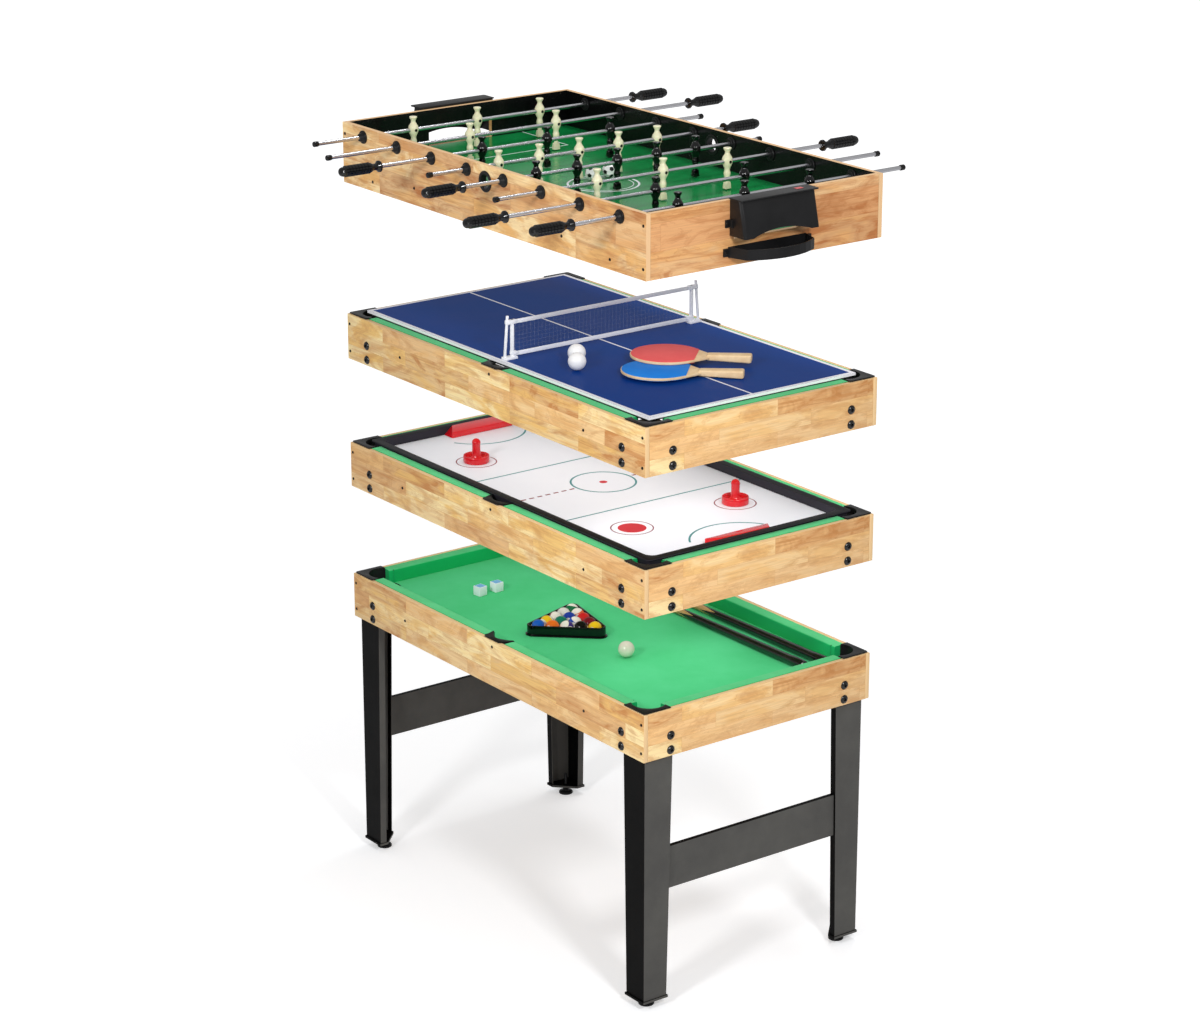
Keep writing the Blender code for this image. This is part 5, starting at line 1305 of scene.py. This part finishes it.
# %% Field lines
AREA_X, AREA_END, AREA_Y, AREA_LINE, DASH_X = 0.400, 0.596, 0.190, 0.003, 0.330
white = [strip(-0.0015, 0.002 - INNER_Y, 0.0015, INNER_Y - 0.002, FIELD_TOP)]
white += [ring_line(0, 0, radius, width, FIELD_TOP) for radius, width in ((0.085, 0.005), (0.072, 0.002))]
for sign in (-1, 1):
    inner_x = sign * (AREA_X + AREA_LINE)
    white.append(strip(sign * AREA_X, -AREA_Y, inner_x, AREA_Y, FIELD_TOP))
    white += [strip(inner_x, y, sign * AREA_END, y + AREA_LINE, FIELD_TOP)
              for y in (-AREA_Y, AREA_Y - AREA_LINE)]
    white.append(strip(sign * DASH_X - 0.008, -0.002, sign * DASH_X + 0.008, 0.002, FIELD_TOP))
dress(gather("field_lines", white), "foosball_box", LINE_WHITE)

# %% [markdown]
# ## Goal hoods
# A moulded hood covers each goal. Its front leans out towards the foot, with chamfered
# sides and a wave cut from its lower edge, and a flat lid overhangs it. Two ears with
# screws hold it to the board. It is shaped at the origin and then moved to each end. The
# right hood's lid carries a plain red label.

# %% The hood
HOOD_HALF, HOOD_DROP, HOOD_WALL, WAVE, WAVE_HALF = 0.108, 0.085, 0.0025, 0.014, 0.084
HOOD_REACH, HOOD_FOOT = 0.036, 0.056
LID_HALF, LID_REACH, LID_CORNER = 0.1125, 0.045, 0.005
EAR_LOW, EAR_HIGH = -0.0657, -0.0477


def wedge(name, half, top_reach, foot_reach, low, high, back):
    """A block whose front leans out towards its foot."""
    obj = block(name, (back, -half, low), (foot_reach, half, high))
    with editing(obj, points=lambda co: co.x > foot_reach - 0.001 and co.z > high - 0.001):
        bpy.ops.transform.translate(value=(top_reach - foot_reach, 0, 0))
    return obj


shell = wedge("shell", HOOD_HALF, HOOD_REACH, HOOD_FOOT, -HOOD_DROP, 0, HAIR)
for sign in (-1, 1):
    with editing(shell, points=lambda co: co.x > 0.03 and co.y * sign > HOOD_HALF - 0.001):
        bpy.ops.mesh.bevel(offset=0.005, segments=1, affect='EDGES')
hollow = wedge("hollow", HOOD_HALF - HOOD_WALL, HOOD_REACH - HOOD_WALL, HOOD_FOOT - HOOD_WALL,
               -HOOD_DROP - 0.002, -HOOD_WALL, -0.002)
wave_radius = (WAVE_HALF ** 2 + WAVE ** 2) / (2 * WAVE)
wave = drum("wave", wave_radius, -0.01, 0.07, (0, 0), 200)
move_to(wave, at(0, 0, WAVE - HOOD_DROP - wave_radius, 90, 'Y'))
soften(cut(shell, hollow, wave), 0.0006, 2, 30)
round_x, round_y = LID_REACH - LID_CORNER, LID_HALF - LID_CORNER
lid_outline = [(HAIR, -LID_HALF)] + arc((round_x, -round_y), LID_CORNER, -90, 0, 5)
lid_outline += arc((round_x, round_y), LID_CORNER, 0, 90, 5) + [(HAIR, LID_HALF)]
lid = soften(plate("lid", lid_outline, -0.0012, 0.003), 0.0008)
ears = []
for sign in (-1, 1):
    ears.append(block("ear", (HAIR, 0.104 * sign, EAR_LOW), (0.0043, 0.122 * sign, EAR_HIGH)))
    ears.append(block("bracket", (HAIR, 0.105 * sign, EAR_LOW), (0.012, 0.1115 * sign, EAR_HIGH)))
HOOD = gather("hood", [shell, lid] + [soften(ear, 0.0009) for ear in ears])
print("hood", len(HOOD.data.polygons), "faces")

# %% Hoods, label and screws
HOOD_TOP = FOOSBALL_RIM + 0.004
TOP_BOX_SCREWS = ((-0.600, 0.122), (0.600, 0.122), (-0.600, 0.025), (0.600, 0.025), (-0.298, 0.041),
                  (0.298, 0.041), (-0.479, 0.023), (0.479, 0.023))
seats = []
for side, sign, turn in (("left", -1, 180), ("right", 1, 0)):
    dressed_copy(f"hood_{side}", HOOD, at(sign * HALF_LENGTH, 0, HOOD_TOP, turn), "foosball_box",
                 BLACK_PLASTIC, "black_plastic", [f"goal_hood_{side}"])
    for y, z in ((0.117, HOOD_TOP + (EAR_LOW + EAR_HIGH) / 2), (0.119, FOOS_FLOOR + 0.032)):
        seats += [at(sign * (HALF_LENGTH + 0.0043), y * way, z, sign * 90, 'Y') for way in (-1, 1)]
discard(HOOD)
label = block("label", (0.014, 0.062, 0.0018 + HAIR), (0.027, 0.082, 0.0022))
dress(move_to(label, at(HALF_LENGTH, 0, HOOD_TOP)), "foosball_box", RED_GLOSS)
end_screws = gather("foosball_end_screws", [copy_to(SCREW, seat) for seat in seats])
dress(end_screws, "foosball_box", DARK_STEEL)
add_fasteners("foosball_screws", "foosball_box", SCREW, on_long_sides(FOOS_FLOOR, TOP_BOX_SCREWS),
              DARK_STEEL)

# %% [markdown]
# ## Rods, bushings and handles
# A drawn steel rod runs through a black bushing in each side. One end carries a ribbed
# grip and the other a small cap. Each is turned on the Z axis and then laid along Y.

# %% Bushings on both sides
ROD_Z = middle_of("rod_bushing_1").z
ROD_X = [middle_of(f"rod_bushing_{n}").x for n in range(1, 9)]
BORE = 0.0056
FACE = PANEL / 2 + HAIR
BUSHING = lathe("bushing", [
    (BORE, FACE + 0.0135), (0.0078, FACE + 0.0135), (0.0092, FACE + 0.0120), (0.0108, FACE + 0.0055),
    (0.0120, FACE + 0.0042), (0.0150, FACE + 0.0040), (0.0160, FACE + 0.0028), (0.0160, FACE),
    (0.0109, FACE), (0.0109, -FACE), (0.0160, -FACE), (0.0160, -FACE - 0.0025), (0.0150, -FACE - 0.0032),
    (0.0112, -FACE - 0.0034), (0.0110, -FACE - 0.0062), (0.0102, -FACE - 0.0070), (BORE, -FACE - 0.0070),
    (BORE, FACE + 0.0135)], 32)
far_bushings = []
for n, x in enumerate(ROD_X, 1):
    dressed_copy(f"near_bushing_{n}", BUSHING, at(x, PANEL / 2 - HALF_WIDTH, ROD_Z, 90, 'X'),
                 f"bushing_{n}", BLACK_PLASTIC, "black_plastic", [f"rod_bushing_{n}"])
    far_bushings.append(copy_to(BUSHING, at(x, HALF_WIDTH - PANEL / 2, ROD_Z, -90, 'X')))
dress(gather("far_bushings", far_bushings), "foosball_box", BLACK_PLASTIC, "black_plastic")
discard(BUSHING)

# %% Ball entry rings
ENTRY_Z = FOOSBALL_RIM - 0.0385
ENTRY = lathe("entry", [(0.0176, 0.0085), (0.0236, 0.0085), (0.0252, 0.0075), (0.0252, 0.0063),
                        (0.0190, 0.0062), (0.0190, -0.0062), (0.0252, -0.0063), (0.0252, -0.0075),
                        (0.0236, -0.0085), (0.0176, -0.0085), (0.0176, 0.0085)], 40)
entries = [copy_to(ENTRY, at(0, s * (HALF_WIDTH - PANEL / 2), ENTRY_Z, 90, 'X')) for s in (-1, 1)]
discard(ENTRY)
dress(gather("entry_rings", entries), "foosball_box", BLACK_PLASTIC, "black_plastic")

# %% A grip with raised blocks
GRIP_LOW, GRIP_HIGH, GRIP_ROWS = 0.031, 0.099, 8
grip_rows = [(0.0120, GRIP_LOW + (GRIP_HIGH - GRIP_LOW) * i / GRIP_ROWS) for i in range(GRIP_ROWS + 1)]
GRIP = lathe("grip", [(0, 0), (0.0100, 0), (0.0134, 0.0010), (0.0142, 0.0032), (0.0140, 0.0058),
                      (0.0112, 0.0086), (0.0084, 0.0112), (0.0080, 0.0190), (0.0090, 0.0228),
                      (0.0112, 0.0262), (0.0118, 0.0290)] + grip_rows
             + [(0.0118, 0.1010), (0.0110, 0.1060), (0.0086, 0.1104), (0.0050, 0.1126), (0, 0.1130)], 12)
with editing(GRIP, faces=lambda centre, normal: GRIP_LOW < centre.z < GRIP_HIGH and abs(normal.z) < 0.5):
    bpy.ops.mesh.inset(thickness=0.0007, depth=0.0013, use_individual=True)
    bpy.ops.mesh.inset(thickness=0.0006, depth=0.0004, use_individual=True)
print("grip", len(GRIP.data.polygons), "faces")

# %% [markdown]
# ## Players
# A player is turned like a skittle: a flared flat head, a neck, shoulders as wide as the
# bushing, a waist and hips, and below them a foot block that meets the ball. Two teams
# share the shape.

# %% The player
PLAYER = lathe("player", [
    (0, 0.0328), (0.0050, 0.0330), (0.0088, 0.0329), (0.0097, 0.0320), (0.0096, 0.0302),
    (0.0082, 0.0276), (0.0062, 0.0246), (0.0056, 0.0218), (0.0062, 0.0186), (0.0086, 0.0142),
    (0.0112, 0.0104), (0.0124, 0.0066), (0.0126, 0.0010), (0.0120, -0.0044), (0.0100, -0.0098),
    (0.0074, -0.0150), (0.0064, -0.0182),
    (0.0067, -0.0214), (0.0079, -0.0254), (0.0083, -0.0292), (0.0074, -0.0342), (0.0060, -0.0402),
    (0.0052, -0.0458), (0.0056, -0.0496), (0, -0.0498)], 20)
boot = block("boot", (-0.0065, -0.0088, -0.0650), (0.0065, 0.0088, -0.0490))
with editing(boot, points=lambda co: co.z > -0.06):
    bpy.ops.transform.resize(value=(0.8, 0.82, 1), center_override=(0, 0, -0.049))
soften(boot, 0.0012, 3)
PLAYER = gather("player", [PLAYER, boot])
PIN = copy_to(SCREW, at(0.0121, 0, 0.0000, 90, 'Y'))
print("player", len(PLAYER.data.polygons), "faces")

# %% Rods with players, caps and grips
PLAYERS_ON_ROD = (3, 2, 3, 5, 5, 3, 2, 3)
PLAYER_SPACING = {2: 0.393, 3: 0.290, 5: 0.178}
ROD_PUSH = (-0.005, 0.0, -0.005, -0.017, -0.015, 0.007, 0.0, 0.010)
ROD_RADIUS, ROD_END = 0.0050, 0.002
CAP = lathe("cap", [(ROD_RADIUS, 0.0130), (0.0064, 0.0130), (0.0068, 0.0115), (0.0068, 0.0020),
                    (0.0058, 0.0004), (0.0040, 0), (0, 0)], 20)
for n, (x, count, push) in enumerate(zip(ROD_X, PLAYERS_ON_ROD, ROD_PUSH), 1):
    low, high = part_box(f"foosball_rod_{n}")
    grip_low, grip_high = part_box(f"rod_handle_{n}")
    side = 1 if grip_low.y > 0 else -1
    body = f"rod_{n}"
    bar = drum(f"rod_{n}_bar", ROD_RADIUS, low.y + ROD_END, high.y - ROD_END, (0, 0), 24)
    move_to(bar, at(x, 0, ROD_Z, -90, 'X'))
    dress(bar, body, STEEL, None, [f"foosball_rod_{n}"])
    cap_y, grip_y = (low.y, grip_low.y) if side > 0 else (high.y, grip_high.y)
    dressed_copy(f"rod_{n}_cap", CAP, at(x, cap_y, ROD_Z, -90 * side, 'X'), body, BLACK_GLOSS,
                 "black_plastic")
    dressed_copy(f"rod_{n}_grip", GRIP, at(x, grip_y, ROD_Z, -90 * side, 'X'), body, BLACK_GLOSS,
                 "black_plastic", [f"rod_handle_{n}"], smooth=24)
    spacing = PLAYER_SPACING[count] * 2 * INNER_Y
    places = [at(x, push + (i - (count - 1) / 2) * spacing, ROD_Z) for i in range(count)]
    team = [copy_to(PLAYER, place) for place in places]
    pins = [copy_to(PIN, place) for place in places]
    slot = "cream_players" if side > 0 else "black_players"
    dress(gather(f"rod_{n}_players", team), body, CREAM if side > 0 else BLACK_GLOSS, slot, smooth=45)
    dress(gather(f"rod_{n}_pins", pins), body, DARK_STEEL)
discard(CAP, GRIP, PLAYER, PIN)

# %% [markdown]
# ## Football
# A football's panels are a truncated icosahedron: cutting every corner of an icosahedron
# leaves twelve pentagons and twenty hexagons. Each panel is inset to make its seam.

# %% Footballs
FOOTBALL_RADIUS = 0.0175
PANEL_WHITE = rgb(240, 240, 238)
PANEL_BLACK = rgb(16, 16, 17)
bpy.ops.object.select_all(action='DESELECT')
bpy.ops.mesh.primitive_ico_sphere_add(subdivisions=1, radius=FOOTBALL_RADIUS)
football = bpy.context.object
with editing(football):
    bpy.ops.mesh.bevel(offset_type='PERCENT', offset_pct=33.33, affect='VERTICES')
paint = football.data.attributes.new("Paint", 'FLOAT_COLOR', 'FACE')
for face in football.data.polygons:
    paint.data[face.index].color = PANEL_BLACK if len(face.vertices) == 5 else PANEL_WHITE
with editing(football):
    bpy.ops.mesh.inset(thickness=0.0003, depth=0.0003, use_individual=True)
    bpy.ops.mesh.subdivide(number_cuts=2)
rounder = football.modifiers.new("Round", 'CAST')
rounder.factor = 0.96
rounder.radius = FOOTBALL_RADIUS
rounder.use_radius_as_size = True
pick(football)
bpy.ops.object.modifier_apply(modifier=rounder.name)
rest_z = FIELD_TOP + HAIR + FOOTBALL_RADIUS
footballs = [copy_to(football, at(-0.046, y, rest_z) @ Matrix.Rotation(turn, 4, axis))
             for y, turn, axis in ((0.052, 0.6, 'X'), (0.001, 1.4, 'Y'))]
FOOTBALL = painted_finish("Football", (0.25, 0.35))
dress(gather("footballs", footballs), "foosball_box", FOOTBALL, smooth=40)
discard(football, BOLT, SCREW)

# %% [markdown]
# ## Floor, light and camera
# The photograph is a studio shot on white. A wide white floor fills the view, and it
# glows a little for the camera alone, more so far away, so that the table's soft shadows
# stay. Small lamps give the crisp lights on black plastic. Each raised box hides a weak
# lamp that lights the board below it, as no board in the photograph is in the shade.

# %% Floor
def seen_directly(tree):
    """One for what the camera sees straight or through the net's clear threads, else zero."""
    rays = node(tree, 'ShaderNodeLightPath').outputs
    return math_node(tree, 'MAXIMUM', rays["Is Camera Ray"], rays["Is Transmission Ray"])


bpy.ops.object.select_all(action='DESELECT')
bpy.ops.mesh.primitive_plane_add(size=120, location=(0, 0, 0))
floor = bpy.context.object
floor.name = "floor"
FLOOR = bpy.data.materials.new("White floor")
FLOOR.use_nodes = True
tree = FLOOR.node_tree
shader = tree.nodes["Principled BSDF"]
shader.inputs["Base Color"].default_value = (0.865, 0.87, 0.885, 1)
shader.inputs["Roughness"].default_value = 0.9
shader.inputs["Specular IOR Level"].default_value = 0.0
seen = seen_directly(tree)
where = coordinates(tree)
distance = node(tree, 'ShaderNodeVectorMath', {0: where["Object"]}, operation='LENGTH').outputs["Value"]
strength = times(tree, seen, spread(tree, distance, 1.2, 6.0, 0.37, 0.72))
glow = node(tree, 'ShaderNodeEmission', {'Color': (1, 1, 1, 1), 'Strength': strength}).outputs[0]
total = node(tree, 'ShaderNodeAddShader', {0: shader.outputs[0], 1: glow}).outputs[0]
tree.links.new(total, tree.nodes["Material Output"].inputs["Surface"])
floor.data.materials.append(FLOOR)
print("floor", floor.dimensions[:])

# %% World and lamps
scene = bpy.context.scene
world = bpy.data.worlds.new("Studio")
scene.world = world
world.use_nodes = True
tree = world.node_tree
backdrop = tree.nodes["Background"]
backdrop.inputs["Color"].default_value = (1, 1, 1, 1)
WORLD_LIGHT = 0.46
seen = seen_directly(tree)
tree.links.new(math_node(tree, 'MAXIMUM', seen, WORLD_LIGHT), backdrop.inputs["Strength"])


def lamp(name, place, target, size, power):
    """A rectangular lamp aimed at a target, out of the camera's sight."""
    data = bpy.data.lights.new(name, 'AREA')
    data.shape = 'RECTANGLE'
    data.size, data.size_y = size
    data.energy = power
    obj = bpy.data.objects.new(name, data)
    obj.location = place
    obj.rotation_euler = (Vector(target) - Vector(place)).to_track_quat('-Z', 'Y').to_euler()
    obj.visible_camera = False
    scene.collection.objects.link(obj)
    return obj


lamp("left softbox", (1.8, -4.2, 3.2), (0, 0, 1.1), (0.6, 0.7), 82)
lamp("right softbox", (4.4, -1.2, 3.6), (0, 0, 1.1), (0.6, 0.7), 100)
lamp("overhead softbox", (-0.6, 1.2, 5.4), (0, 0, 1.9), (0.9, 0.9), 52)
for name, power in (("hockey_frame", 1.8), ("tennis_frame", 2.1), ("foosball_side_near", 1.0)):
    fill = lamp(f"fill under {name}", (0, 0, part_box(name)[0].z + 0.02), (0, 0, 0), (1.12, 0.60), power)
    fill.visible_glossy = False
print(len(bpy.data.lights), "lamps")

# %% Camera
CAMERA_LENS, CAMERA_PITCH, CAMERA_YAW = 99.54, 18.53, 53.31
camera_data = bpy.data.cameras.new("Camera")
camera = bpy.data.objects.new("Camera", camera_data)
scene.collection.objects.link(camera)
camera_data.sensor_width = 36
camera_data.lens = CAMERA_LENS
camera_data.clip_end = 200
camera.location = (6.172, -4.609, 3.588)
camera.rotation_euler = (math.radians(90 - CAMERA_PITCH), 0, math.radians(CAMERA_YAW))
scene.camera = camera
scene.view_settings.view_transform = 'Standard'
print("camera at", camera.location[:])
